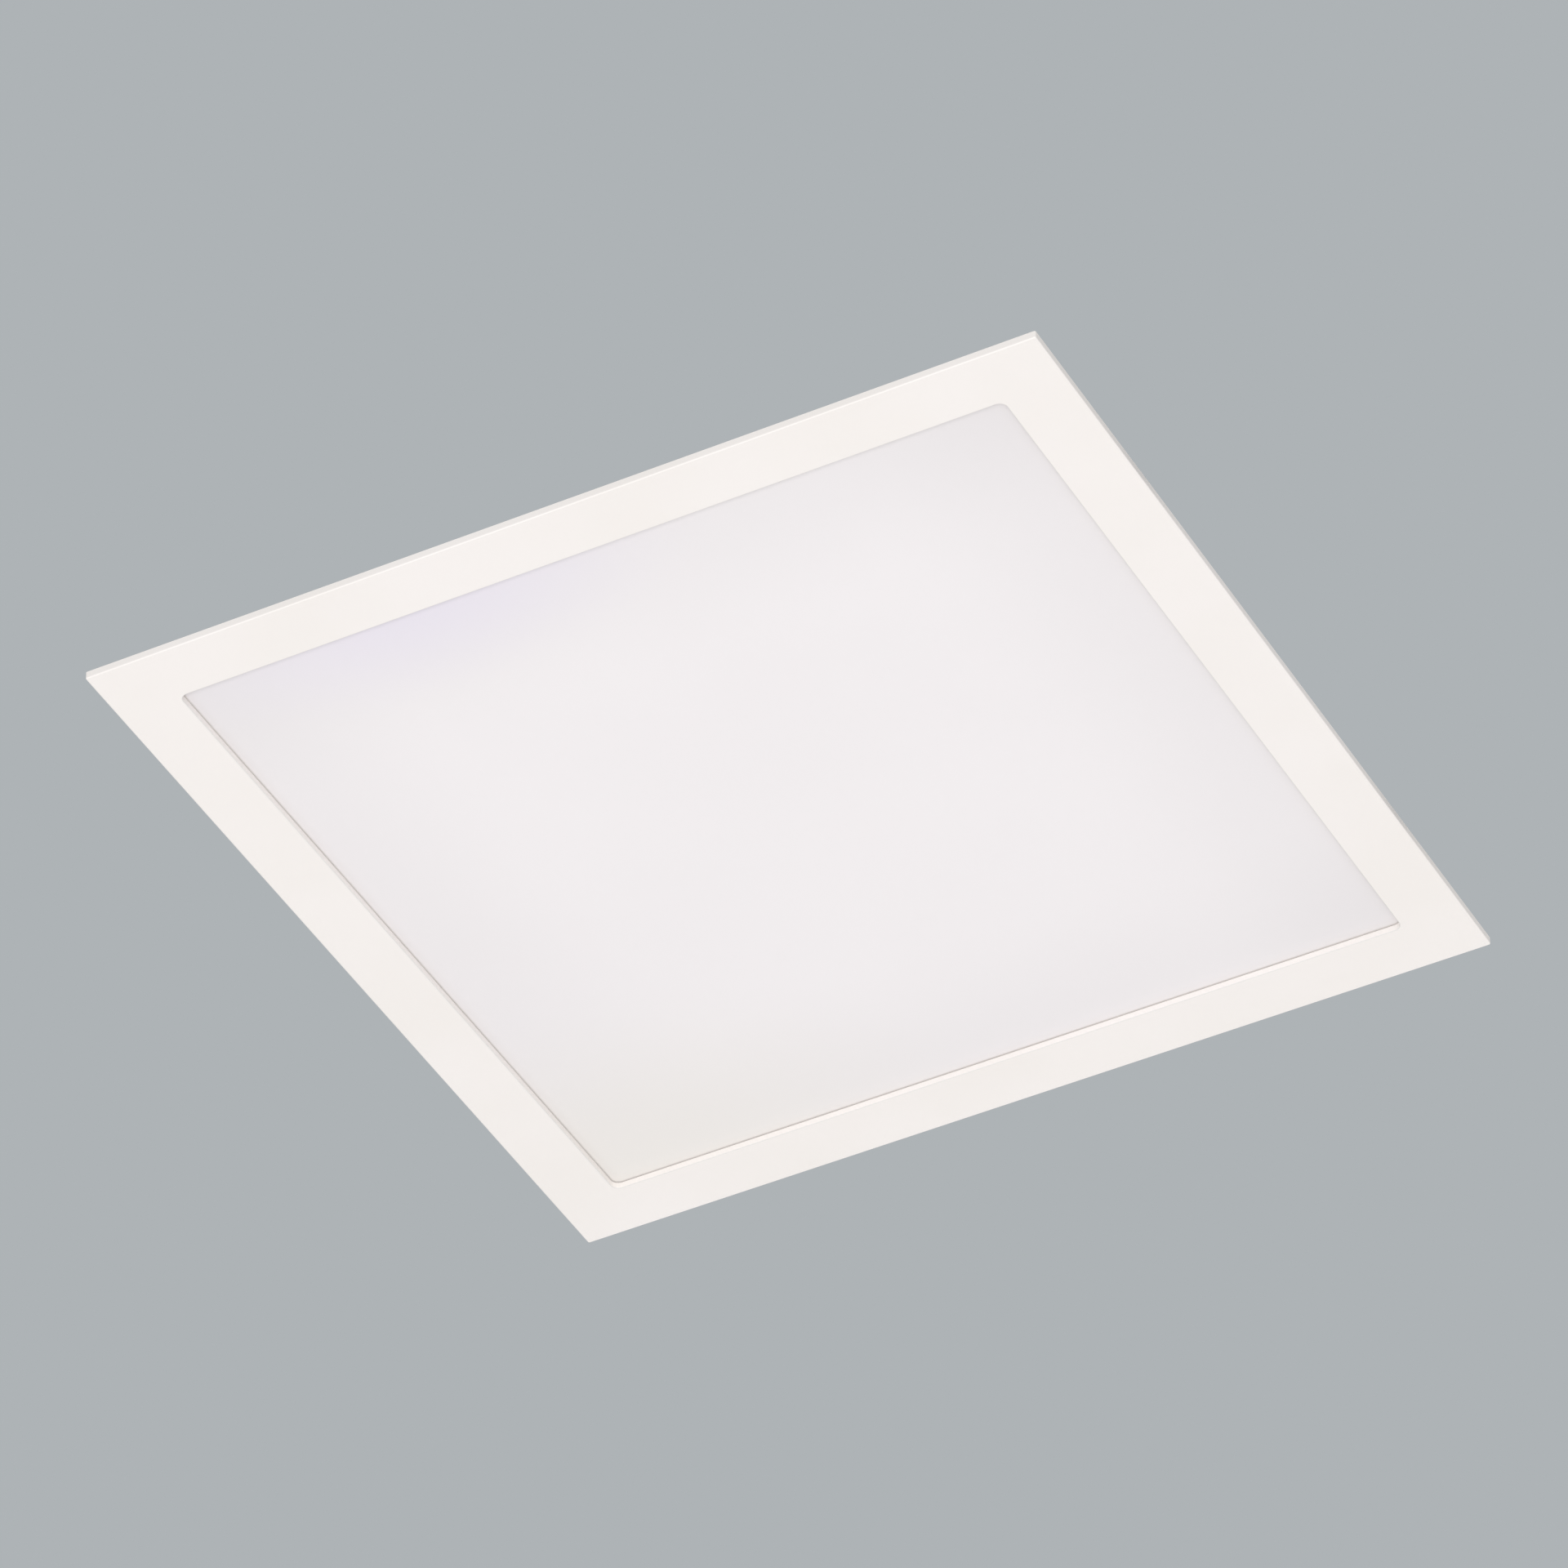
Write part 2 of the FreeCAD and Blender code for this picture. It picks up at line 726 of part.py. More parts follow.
def back_cover():
    """Stamped sheet lid with four raised beads, screwed down on the bosses."""
    body = keep(new_body("back_cover"), "back_cover")
    lid = add_sketch(body, "cover_outline", offset=neck_top)
    add_square(lid, half_cover, size("cover_corner_radius"))
    pad(body, lid, size("cover_thickness"))

    middle = half_neck - size("bead_inset")
    half_length = middle - size("bead_end_gap")
    half_width = size("bead_width") / 2
    corner = half_width - size("bead_flat") / 2
    wall = size("cover_thickness")
    ridge = add_sketch(body, "bead_outline", offset=cover_top)
    add_rounded_rectangle(
        ridge, middle - half_width, middle + half_width, -half_length, half_length, corner
    )
    raised = pad(body, ridge, size("bead_height"), slope=-size("bead_slope"))
    inner_width = half_width - wall
    inner_length = half_length - wall
    groove = add_sketch(body, "bead_groove", offset=neck_top)
    add_rounded_rectangle(
        groove, middle - inner_width, middle + inner_width, -inner_length, inner_length, corner - wall
    )
    pressed = pocket(body, groove, size("bead_height"), reverse=True)
    holes = add_sketch(body, "cover_screw_holes", offset=cover_top)
    for step in (-1, 0, 1):
        hole_radius = size("panel_screw_radius") + size("screw_clearance")
        add_circle(holes, boss_line, boss_step * step, hole_radius)
    drilled = pocket(body, holes, wall)
    polar_pattern(body, [raised, pressed, drilled], len(SIDES))

    fixings = add_sketch(body, "cover_fixing_holes", offset=cover_top)
    for x_side, y_side in CLIPS.values():
        for step in (-1, 1):
            y = clip_y * y_side + rivet_side * step
            add_circle(fixings, rivet_x * x_side, y, size("rivet_radius"))
        hole_radius = size("mount_screw_radius") + size("thread_clearance")
        add_circle(fixings, foot_x * x_side, foot_y * y_side, hole_radius)
    add_circle(fixings, 0, lead_place, lead_grommet_seat)
    pocket(body, fixings, wall)


def led_boards():
    """Four boards taped to the neck walls, each with its row of LED packages."""
    board = new_body("board")
    outline = add_sketch(board, "board_outline", offset=board_bottom)
    add_rectangle(outline, board_face, board_back, -half_board, half_board)
    pad(board, outline, board_top - board_bottom)
    for side, turn in SIDES.items():
        copies("led_board_" + side, board, [(0, 0, 0, about_z(turn))])

    tape = new_body("tape")
    outline = add_sketch(tape, "tape_outline", offset=board_bottom)
    add_rectangle(outline, board_back, half_cavity, -half_board, half_board)
    pad(tape, outline, board_top - board_bottom)
    every_side = [(0, 0, 0, about_z(turn)) for turn in SIDES.values()]
    copies("thermal_tapes", tape, every_side)

    row = new_body("led_row")
    first = size("led_end_margin") - half_board
    package = add_sketch(row, "led_outline", offset=led_bottom)
    half_led = size("led_width") / 2
    add_rectangle(package, led_face, board_face, first - half_led, first + half_led)
    led = pad(row, package, led_top - led_bottom)
    line = row.newObject("PartDesign::LinearPattern", "led_line")
    line.Originals = [led]
    line.Direction = (origin_feature(row, "Y_Axis"), [""])
    line.Occurrences = int(size("led_count").number)
    bind(line, "Length", first * -2)
    row.Tip = line
    doc.recompute()
    copies("led_packages", row, every_side)


def corner_links():
    """Two flat links, one above the other, that join the boards at three of the four corners."""
    pair = new_body("link_pair")
    inner = board_face - size("link_thickness")
    end = half_board - size("link_overlap")
    width = size("link_width")
    upper = board_top - size("link_top_margin") - width
    lower = upper - size("link_gap") - width
    for name, level in (("upper_link", upper), ("lower_link", lower)):
        outline = add_sketch(pair, name, offset=level)
        add_polygon(
            outline,
            [
                (inner, end),
                (board_face, end),
                (board_face, board_face),
                (end, board_face),
                (end, inner),
                (inner, inner),
            ],
        )
        pad(pair, outline, width)
    joined = ("right", "left", "front")
    copies("corner_links", pair, [(0, 0, 0, about_z(SIDES[side])) for side in joined])


def supply_lead(name, side):
    """A lead that drops from the circuit board through the grommet and runs along the foam slot."""
    body = keep(new_body(name), name)
    path = add_sketch(body, name + "_path", plane="YZ", offset=lead_x * side)
    start = lead_place - size("lead_offset")
    bend = size("lead_bend_radius")
    centre = Vector((start + bend).number, (lead_level + bend).number, 0)
    down = Part.LineSegment(
        Vector(start.number, circuit_bottom.number, 0), Vector(start.number, centre.y, 0)
    )
    along = Part.LineSegment(
        Vector(centre.x, lead_level.number, 0), Vector(board_face.number, lead_level.number, 0)
    )
    first = path.addGeometry(down, False)
    arc = add_arc(path, centre, bend.number, math.pi, math.pi * 1.5)
    last = path.addGeometry(along, False)
    path.addConstraint(Sketcher.Constraint("Tangent", first, 2, arc, 1))
    path.addConstraint(Sketcher.Constraint("Tangent", arc, 2, last, 1))
    path.addConstraint(Sketcher.Constraint("Vertical", first))
    fix_point(path, first, 1, start, circuit_bottom)
    fix_point(path, last, 2, board_face, lead_level)
    fix_radius(path, arc, bend)

    section = add_sketch(body, name + "_section", offset=circuit_bottom)
    add_circle(section, lead_x * side, start, size("lead_radius"))
    doc.recompute()
    tube = body.newObject("PartDesign::AdditivePipe", name + "_tube")
    tube.Profile = section
    tube.Spine = path
    doc.recompute()


def grommet(name, bore, seat, lip, lip_thickness, wall, nose_wall, nose_length):
    """A rubber ring whose groove holds the edge of a hole, turned about its own Z axis.

    Its origin is in the middle of the groove, and the nose points along -Z.
    """
    body = keep(new_body(name), name)
    profile = add_sketch(body, name + "_profile", plane="XZ")
    half_wall = wall / 2
    outside = half_wall + lip_thickness
    flange = seat + lip
    add_polygon(
        profile,
        [
            (bore, -outside - nose_length),
            (bore + nose_wall, -outside - nose_length),
            (flange, -outside),
            (flange, -half_wall),
            (seat, -half_wall),
            (seat, half_wall),
            (flange, half_wall),
            (flange, outside),
            (bore, outside),
        ],
    )
    revolve(body, profile)
    return body


def lead_grommet():
    body = grommet(
        "lead_grommet",
        lead_grommet_bore,
        lead_grommet_seat,
        size("lead_grommet_lip"),
        size("lead_grommet_lip_thickness"),
        size("cover_thickness"),
        size("lead_grommet_wall"),
        size("lead_grommet_nose"),
    )
    place(body, 0, lead_place, (neck_top + cover_top) / 2)


def cable_grommet():
    """The mains inlet in the front end wall of the driver. Its nose points out along -Y."""
    body = grommet(
        "cable_grommet",
        size("inlet_bore"),
        inlet_seat,
        size("inlet_lip"),
        size("inlet_lip_thickness"),
        size("driver_wall"),
        size("inlet_nose_wall"),
        size("inlet_nose_length"),
    )
    body.Placement = Placement(Vector(), Rotation(Vector(1, 0, 0), -90))
    place(body, 0, size("driver_wall") / 2 - driver_end, inlet_level)


def post_places():
    """The six screw posts of the driver: four under the main cover and two under the terminal cover."""
    post_middle = driver_split + size("driver_post_inset_y")
    return [(post_x * side, y) for y in (post_rear, post_middle, -post_rear) for side in (-1, 1)]


def standoff_places():
    inset = size("standoff_inset")
    ends = (circuit_front + inset, circuit_rear - inset)
    return [(standoff_x * side, y) for y in ends for side in (-1, 1)]


def driver_base():
    """Tray with standoffs for the circuit board, posts for the cover screws and four feet."""
    body = keep(new_body("driver_base"), "driver_base")
    wall = size("driver_wall")
    outline = add_sketch(body, "base_outline", offset=cover_top)
    add_rounded_rectangle(
        outline, -half_driver, half_driver, -driver_end, driver_end, size("driver_corner_radius")
    )
    pad(body, outline, driver_joint - cover_top)
    inside = add_sketch(body, "base_inside", offset=driver_joint)
    add_rounded_rectangle(
        inside,
        wall - half_driver,
        half_driver - wall,
        wall - driver_end,
        driver_end - wall,
        size("driver_corner_radius") - wall,
    )
    pocket(body, inside, driver_joint - driver_floor)

    posts = add_sketch(body, "base_posts", offset=driver_floor)
    post_holes = add_sketch(body, "base_post_holes", offset=driver_joint)
    for x, y in post_places():
        add_circle(posts, x, y, size("driver_post_radius"))
        add_circle(post_holes, x, y, size("case_screw_radius") + size("thread_clearance"))
    pad(body, posts, driver_joint - driver_floor)
    pocket(body, post_holes, driver_joint - driver_floor)

    standoffs = add_sketch(body, "base_standoffs", offset=driver_floor)
    standoff_holes = add_sketch(body, "base_standoff_holes", offset=circuit_bottom)
    for x, y in standoff_places():
        add_circle(standoffs, x, y, size("standoff_radius"))
        add_circle(standoff_holes, x, y, size("circuit_screw_radius") + size("thread_clearance"))
    pad(body, standoffs, size("standoff_height"))
    pocket(body, standoff_holes, size("standoff_height"))

    feet = add_sketch(body, "base_feet", offset=cover_top)
    foot_holes = add_sketch(body, "base_foot_holes", offset=foot_top)
    half_foot = size("driver_foot_width") / 2
    root, tip = driver_end - wall, driver_end + size("driver_foot_length")
    for x_side, y_side in CLIPS.values():
        x = foot_x * x_side
        low, high = (root, tip) if y_side > 0 else (-tip, -root)
        add_rounded_rectangle(feet, x - half_foot, x + half_foot, low, high, wall / 2)
        hole_radius = size("mount_screw_radius") + size("screw_clearance")
        add_circle(foot_holes, x, foot_y * y_side, hole_radius)
    pad(body, feet, size("driver_foot_thickness"))
    pocket(body, foot_holes, size("driver_foot_thickness"))

    lead_hole = add_sketch(body, "base_lead_hole", offset=driver_floor)
    add_circle(lead_hole, 0, lead_place, lead_grommet_flange + size("lead_hole_room"))
    pocket(body, lead_hole, wall)
    inlet = add_sketch(body, "base_inlet_hole", plane="XZ", offset=driver_end)
    add_circle(inlet, 0, inlet_level, inlet_seat)
    pocket(body, inlet, wall)


def housing_cap(name, front, rear, columns):
    """A cap over one stretch of the driver tray, with a screw column over each of its posts."""
    body = keep(new_body(name), name)
    wall = size("driver_wall")
    outline = add_sketch(body, name + "_outline", offset=driver_joint)
    add_rounded_rectangle(
        outline, -half_driver, half_driver, front, rear, size("driver_edge_radius")
    )
    pad(body, outline, size("driver_cover_height"))
    soften(body, "Fillet", lambda box: at_level(box, driver_top), size("driver_edge_radius") / 2)
    inside = add_sketch(body, name + "_inside", offset=driver_joint)
    add_rectangle(inside, wall - half_driver, half_driver - wall, front + wall, rear - wall)
    pocket(body, inside, driver_ceiling - driver_joint, reverse=True)

    recess_radius = size("case_screw_head") + size("counterbore_clearance")
    pillars = add_sketch(body, name + "_pillars", offset=driver_joint)
    bores = add_sketch(body, name + "_bores", offset=driver_top)
    recesses = add_sketch(body, name + "_recesses", offset=driver_top)
    for x, y in columns:
        add_circle(pillars, x, y, recess_radius + size("driver_column_wall"))
        add_circle(bores, x, y, size("case_screw_radius") + size("screw_clearance"))
        add_circle(recesses, x, y, recess_radius)
    pad(body, pillars, driver_ceiling - driver_joint)
    pocket(body, bores, size("driver_cover_height"))
    pocket(body, recesses, size("counterbore_depth"))


def driver_covers():
    columns = post_places()
    housing_cap("driver_cover", driver_split, driver_end, columns[:4])
    housing_cap("terminal_cover", -driver_end, driver_split - size("driver_split_gap"), columns[4:])


def screw(kind, length):
    """A pan head screw with a cross recess. Its origin is under the head, and the shank points down."""
    radius, head_radius = size(kind + "_radius"), size(kind + "_head")
    head_height = size(kind + "_head_height")
    body = new_body(kind)
    profile = add_sketch(body, kind + "_profile", plane="XZ")
    point = radius / 2
    add_polygon(
        profile,
        [
            (0, head_height),
            (head_radius, head_height),
            (head_radius, 0),
            (radius, 0),
            (radius, point - length),
            (point, -length),
            (0, -length),
        ],
    )
    revolve(body, profile)
    soften(body, "Fillet", lambda box: at_level(box, head_height), head_height * HEAD_ROUNDING)
    recess = add_sketch(body, kind + "_recess", offset=head_height)
    arm = head_radius * RECESS_REACH
    half = head_radius * RECESS_HALF_WIDTH
    add_polygon(
        recess,
        [
            (half, half),
            (half, arm),
            (-half, arm),
            (-half, half),
            (-arm, half),
            (-arm, -half),
            (-half, -half),
            (-half, -arm),
            (half, -arm),
            (half, -half),
            (arm, -half),
            (arm, half),
        ],
    )
    pocket(body, recess, head_height * RECESS_DEPTH)
    return body


def cover_screws():
    """Twelve screws through the back cover into the frame's bosses."""
    length = cover_top - size("boss_floor") - size("panel_screw_end_gap")
    master = screw("panel_screw", length)
    places = []
    for step in (-1, 0, 1):
        for side in (-1, 1):
            places.append((boss_line * side, boss_step * step, cover_top, UPRIGHT))
            places.append((boss_step * step, boss_line * side, cover_top, UPRIGHT))
    copies("back_cover_screws", master, places)


def driver_screws():
    """The screws of the housing's caps, of its feet and of the circuit board."""
    seat = driver_top - size("counterbore_depth")
    case_screw = screw("case_screw", seat - driver_floor - size("case_screw_end_gap"))
    copies("driver_cover_screws", case_screw, [(x, y, seat, UPRIGHT) for x, y in post_places()])

    mount_screw = screw("mount_screw", foot_top - neck_top + size("mount_screw_tail"))
    places = []
    for x_side, y_side in CLIPS.values():
        places.append((foot_x * x_side, foot_y * y_side, foot_top, UPRIGHT))
    copies("driver_mount_screws", mount_screw, places)

    circuit_length = circuit_top - driver_floor - size("circuit_screw_end_gap")
    circuit_screw = screw("circuit_screw", circuit_length)
    places = [(x, y, circuit_top, UPRIGHT) for x, y in standoff_places()]
    copies("board_screws", circuit_screw, places)


def driver_board():
    body = keep(new_body("driver_board"), "driver_board")
    outline = add_sketch(body, "circuit_outline", offset=circuit_bottom)
    add_rectangle(outline, -half_circuit, half_circuit, circuit_front, circuit_rear)
    pad(body, outline, size("circuit_thickness"))
    holes = add_sketch(body, "circuit_holes", offset=circuit_top)
    for x, y in standoff_places():
        add_circle(holes, x, y, size("circuit_screw_radius") + size("screw_clearance"))
    pocket(body, holes, size("circuit_thickness"))


def terminal_block():
    """Two-pole screw terminal at the front end of the circuit board, wire entries facing -Y."""
    body = keep(new_body("mains_terminal_block"), "mains_terminal_block")
    top = circuit_top + size("terminal_height")
    half_pitch = (half_terminal - size("terminal_side_wall")) / 2
    outline = add_sketch(body, "terminal_outline", offset=circuit_top)
    add_rectangle(outline, -half_terminal, half_terminal, circuit_front, terminal_rear)
    pad(body, outline, size("terminal_height"))
    entries = add_sketch(body, "terminal_entries", plane="XZ", offset=-circuit_front)
    wells = add_sketch(body, "terminal_wells", offset=top)
    middle = (circuit_front + terminal_rear) / 2
    entry_level = circuit_top + size("terminal_entry_level")
    for side in (-1, 1):
        add_circle(entries, half_pitch * side, entry_level, size("terminal_entry_radius"))
        add_circle(wells, half_pitch * side, middle, size("terminal_well_radius"))
    pocket(body, entries, size("terminal_entry_depth"))
    pocket(body, wells, size("terminal_well_depth"))

    master = new_body("terminal_screw")
    radius = size("terminal_well_radius") - size("terminal_well_clearance")
    height = size("terminal_well_depth") - size("terminal_screw_drop")
    disc = add_sketch(master, "terminal_screw_outline")
    add_circle(disc, 0, 0, radius)
    pad(master, disc, height)
    slot = add_sketch(master, "terminal_screw_slot", offset=height)
    half_slot = radius / 6
    add_rectangle(slot, -radius * 2, radius * 2, -half_slot, half_slot)
    pocket(master, slot, height / 3)
    bottom = top - size("terminal_well_depth")
    places = [(half_pitch * side, middle, bottom, UPRIGHT) for side in (-1, 1)]
    copies("terminal_screws", master, places)


def can(name, radius, height):
    """A round component with a rounded top edge, standing on its own origin."""
    body = new_body(name)
    outline = add_sketch(body, name + "_outline")
    add_circle(outline, 0, 0, radius)
    pad(body, outline, height)
    soften(body, "Fillet", lambda box: at_level(box, height), radius * CAN_ROUNDING)
    return body


def standing_block(name, x, y, width, depth, height):
    """A boxed component that stands on the circuit board, centred on x and y."""
    block = doc.addObject("Part::Box", name)
    bind(block, "Length", width)
    bind(block, "Width", depth)
    bind(block, "Height", height)
    place(block, x - width / 2, y - depth / 2, circuit_top)
    keep(block, name)


def drum_choke():
    """A ferrite drum with a flange at each end of its winding."""
    body = new_body("filter_choke")
    radius, height, flange = size("choke_radius"), size("choke_height"), size("choke_flange")
    waist = radius - size("choke_waist")
    profile = add_sketch(body, "choke_profile", plane="XZ")
    add_polygon(
        profile,
        [
            (0, 0),
            (radius, 0),
            (radius, flange),
            (waist, flange),
            (waist, height - flange),
            (radius, height - flange),
            (radius, height),
            (0, height),
        ],
    )
    revolve(body, profile)
    return keep(body, "filter_choke")


def disc_varistor(x, y):
    """A coated disc that stands on its edge, its axis across the board."""
    disc = doc.addObject("Part::Cylinder", "input_varistor")
    disc.Placement = Placement(Vector(), Rotation(Vector(0, 1, 0), 90))
    bind(disc, "Radius", size("varistor_radius"))
    bind(disc, "Height", size("varistor_thickness"))
    place(disc, x - size("varistor_thickness") / 2, y, circuit_top + size("varistor_radius"))
    keep(disc, "input_varistor")


def transformer(y):
    """A ferrite core with two windows, and the taped winding round its middle leg."""
    core = keep(new_body("transformer_core"), "transformer_core")
    section = add_sketch(core, "core_section", plane="XZ")
    half_width, height = size("core_width") / 2, size("core_height")
    rim, half_leg = size("core_rim"), size("core_leg_width") / 2
    add_rectangle(section, -half_width, half_width, 0, height)
    add_rectangle(section, half_leg, half_width - rim, rim, height - rim)
    add_rectangle(section, rim - half_width, -half_leg, rim, height - rim)
    pad(core, section, size("core_depth"), both_ways=True)
    place(core, 0, y, circuit_top)

    winding = keep(new_body("transformer_winding"), "transformer_winding")
    gap = size("winding_gap")
    half_across = half_width - rim - gap
    half_depth = size("winding_depth") / 2
    ring = add_sketch(winding, "winding_outline", offset=rim + gap)
    add_rounded_rectangle(
        ring, -half_across, half_across, -half_depth, half_depth, size("winding_corner_radius")
    )
    leg_room = half_leg + gap
    core_room = size("core_depth") / 2 + gap
    add_rectangle(ring, -leg_room, leg_room, -core_room, core_room)
    pad(winding, ring, height - (rim + gap) * 2)
    place(winding, 0, y, circuit_top)


def row_middles(depths):
    """The middle of each row of components, from the mains end of the board to its output end."""
    middles = []
    start = terminal_rear + size("component_gap")
    for depth in depths:
        middles.append(start + depth / 2)
        start = start + depth + size("component_gap")
    return middles


def circuit_parts():
    """Six rows of components. A row holds one in the middle or one on each side of the middle line."""
    half_gap = size("component_side_gap") / 2
    first, second, third, fourth, fifth, sixth = row_middles(
        [
            larger(size("fuse_radius"), size("varistor_radius")) * 2,
            larger(size("film_capacitor_depth"), size("choke_radius") * 2),
            larger(size("rectifier_depth"), size("transistor_depth")),
            size("input_can_radius") * 2,
            larger(size("winding_depth"), size("core_depth")),
            size("output_can_radius") * 2,
        ]
    )
    fuse = can("fuse_can", size("fuse_radius"), size("fuse_height"))
    copies("input_fuse", fuse, [(-half_gap - size("fuse_radius"), first, circuit_top, UPRIGHT)])
    disc_varistor(half_gap + size("varistor_thickness") / 2, first)
    standing_block(
        "film_capacitor",
        -half_gap - size("film_capacitor_width") / 2,
        second,
        size("film_capacitor_width"),
        size("film_capacitor_depth"),
        size("film_capacitor_height"),
    )
    place(drum_choke(), half_gap + size("choke_radius"), second, circuit_top)
    standing_block(
        "bridge_rectifier",
        -half_gap - size("rectifier_width") / 2,
        third,
        size("rectifier_width"),
        size("rectifier_depth"),
        size("rectifier_height"),
    )
    standing_block(
        "power_transistor",
        half_gap + size("transistor_width") / 2,
        third,
        size("transistor_width"),
        size("transistor_depth"),
        size("transistor_height"),
    )
    input_can = can("input_can", size("input_can_radius"), size("input_can_height"))
    copies("input_capacitor", input_can, [(0, fourth, circuit_top, UPRIGHT)])
    transformer(fifth)
    output_can = can("output_can", size("output_can_radius"), size("output_can_height"))
    output_x = half_gap + size("output_can_radius")
    places = [(output_x * side, sixth, circuit_top, UPRIGHT) for side in (-1, 1)]
    copies("output_capacitors", output_can, places)


def add_ear(sketch, foot, radius, bottom):
    """An ear outline: straight sides from the bottom, closed by a half circle about the pin."""
    foot, radius, bottom = as_length(foot), as_length(radius), as_length(bottom)
    x, r, z = foot.number, radius.number, bottom.number
    left = sketch.addGeometry(Part.LineSegment(Vector(-r, 0, 0), Vector(-x, z, 0)), False)
    floor = sketch.addGeometry(Part.LineSegment(Vector(-x, z, 0), Vector(x, z, 0)), False)
    right = sketch.addGeometry(Part.LineSegment(Vector(x, z, 0), Vector(r, 0, 0)), False)
    top = add_arc(sketch, (0, 0), r, 0, math.pi)
    outline = [left, floor, right, top]
    for i, element in enumerate(outline):
        following = outline[(i + 1) % len(outline)]
        sketch.addConstraint(Sketcher.Constraint("Coincident", element, 2, following, 1))
    fix_point(sketch, floor, 1, -foot, bottom)
    fix_point(sketch, floor, 2, foot, bottom)
    fix_point(sketch, top, 3, 0, 0)
    fix_point(sketch, top, 1, radius, 0)
    index = sketch.addConstraint(Sketcher.Constraint("DistanceY", -1, 1, top, 2, 0.0))
    bind(sketch, f"Constraints[{index}]", 0)


def clip_bracket():
    """Stamped bracket: a riveted base plate and two upright ears that carry the pin.

    Every piece of a clip has its origin on the pin's axis, X outwards and Y along the pin.
    """
    body = new_body("bracket")
    thickness = size("clip_sheet")
    outline = add_sketch(body, "bracket_base", offset=-base_bottom)
    add_rounded_rectangle(
        outline, -base_back, base_front, -half_clip, half_clip, size("clip_edge_margin")
    )
    pad(body, outline, thickness)
    holes = add_sketch(body, "bracket_rivet_holes", offset=-base_drop)
    for step in (-1, 1):
        add_circle(holes, -rivet_back, rivet_side * step, size("rivet_radius"))
    pocket(body, holes, thickness)

    ear = add_sketch(body, "bracket_ear", plane="XZ", offset=half_clip - thickness)
    add_ear(ear, ear_foot, size("clip_ear_radius"), thickness / 2 - base_bottom)
    ear_pad = pad(body, ear, thickness)
    mirrored(body, [ear_pad], "XZ")
    bore = add_sketch(body, "bracket_bore", plane="XZ", offset=half_clip)
    add_circle(bore, 0, 0, size("pin_radius") + size("pin_clearance"))
    pocket(body, bore, half_clip * 2)
    return body


def clip_pin():
    """Headed pin through the bracket's ears, peened over at the far end."""
    body = new_body("pin")
    half = half_clip + size("pin_clearance")
    head, radius = size("pin_head_thickness"), size("pin_radius")
    head_radius = size("pin_head_radius")
    profile = add_sketch(body, "pin_profile")
    add_polygon(
        profile,
        [
            (0, -half - head),
            (head_radius, -half - head),
            (head_radius, -half),
            (radius, -half),
            (radius, half),
            (radius + head / 2, half),
            (radius, half + head),
            (0, half + head),
        ],
    )
    revolve(body, profile)
    return body


def clip_arm():
    """Stamped arm: a flat web under the pin, two ears on it, and low flanges along its root."""
    body = new_body("arm")
    thickness = size("arm_sheet")
    tail, tip = size("arm_tail"), size("arm_length")
    taper_start = size("arm_taper_start")
    notch = coil_half_width + size("spring_wire_radius") + size("arm_notch_room")
    notch_end = size("arm_notch_end")
    web = add_sketch(body, "arm_web", offset=-arm_drop)
    add_polygon(
        web,
        [
            (-tail, -half_arm_root),
            (taper_start, -half_arm_root),
            (arm_taper_end, -half_arm_tip),
            (tip, -half_arm_tip),
            (tip, half_arm_tip),
            (arm_taper_end, half_arm_tip),
            (taper_start, half_arm_root),
            (-tail, half_arm_root),
            (-tail, notch),
            (notch_end, notch),
            (notch_end, -notch),
            (-tail, -notch),
        ],
    )
    pad(body, web, thickness)
    end = tip.number - thickness.number / 2
    upright = thickness.number / 2
    soften(
        body,
        "Fillet",
        lambda box: box.XMin > end and box.ZMax - box.ZMin > upright,
        size("arm_tip_radius"),
    )
    inside = half_arm_root - thickness
    bend_line = thickness / 2 - arm_drop
    ear = add_sketch(body, "arm_ear", plane="XZ", offset=inside)
    add_ear(ear, tail, size("arm_ear_radius"), bend_line)
    ear_pad = pad(body, ear, thickness)
    flange = add_sketch(body, "arm_flange", plane="XZ", offset=inside)
    setback = size("arm_flange_setback")
    flange_end = taper_start - setback
    flange_top = thickness - arm_drop + size("arm_flange_height")
    add_polygon(
        flange,
        [(0, bend_line), (flange_end, bend_line), (flange_end - setback, flange_top), (0, flange_top)],
    )
    flange_pad = pad(body, flange, thickness)
    mirrored(body, [ear_pad, flange_pad], "XZ")
    bore = add_sketch(body, "arm_bore", plane="XZ", offset=half_arm_root)
    add_circle(bore, 0, 0, size("pin_radius") + size("arm_clearance"))
    pocket(body, bore, half_arm_root * 2)
    return body


def clip_sleeve():
    """Soft sleeve pushed over the arm's end, with a rounded nose."""
    body = new_body("sleeve")
    wall, clearance = size("sleeve_wall"), size("sleeve_clearance")
    thickness = size("arm_sheet") + wall * 2
    bottom = -arm_drop - wall
    half_width = half_arm_tip + wall
    nose = size("arm_length") + size("sleeve_nose")
    outline = add_sketch(body, "sleeve_outline", offset=bottom)
    add_rounded_rectangle(
        outline, sleeve_start, nose, -half_width, half_width, size("sleeve_corner_radius")
    )
    pad(body, outline, thickness)
    top = bottom + thickness
    soften(
        body,
        "Fillet",
        lambda box: at_level(box, bottom) or at_level(box, top),
        thickness / 4,
    )
    slot = add_sketch(body, "sleeve_slot", offset=-arm_drop - clearance)
    half_slot = half_arm_tip + clearance
    slot_end = size("arm_length") + clearance
    add_rectangle(slot, sleeve_start - 1, slot_end, -half_slot, half_slot)
    pocket(body, slot, size("arm_sheet") + clearance * 2, reverse=True)
    return body


def unit(vector):
    return vector * (1 / vector.Length)


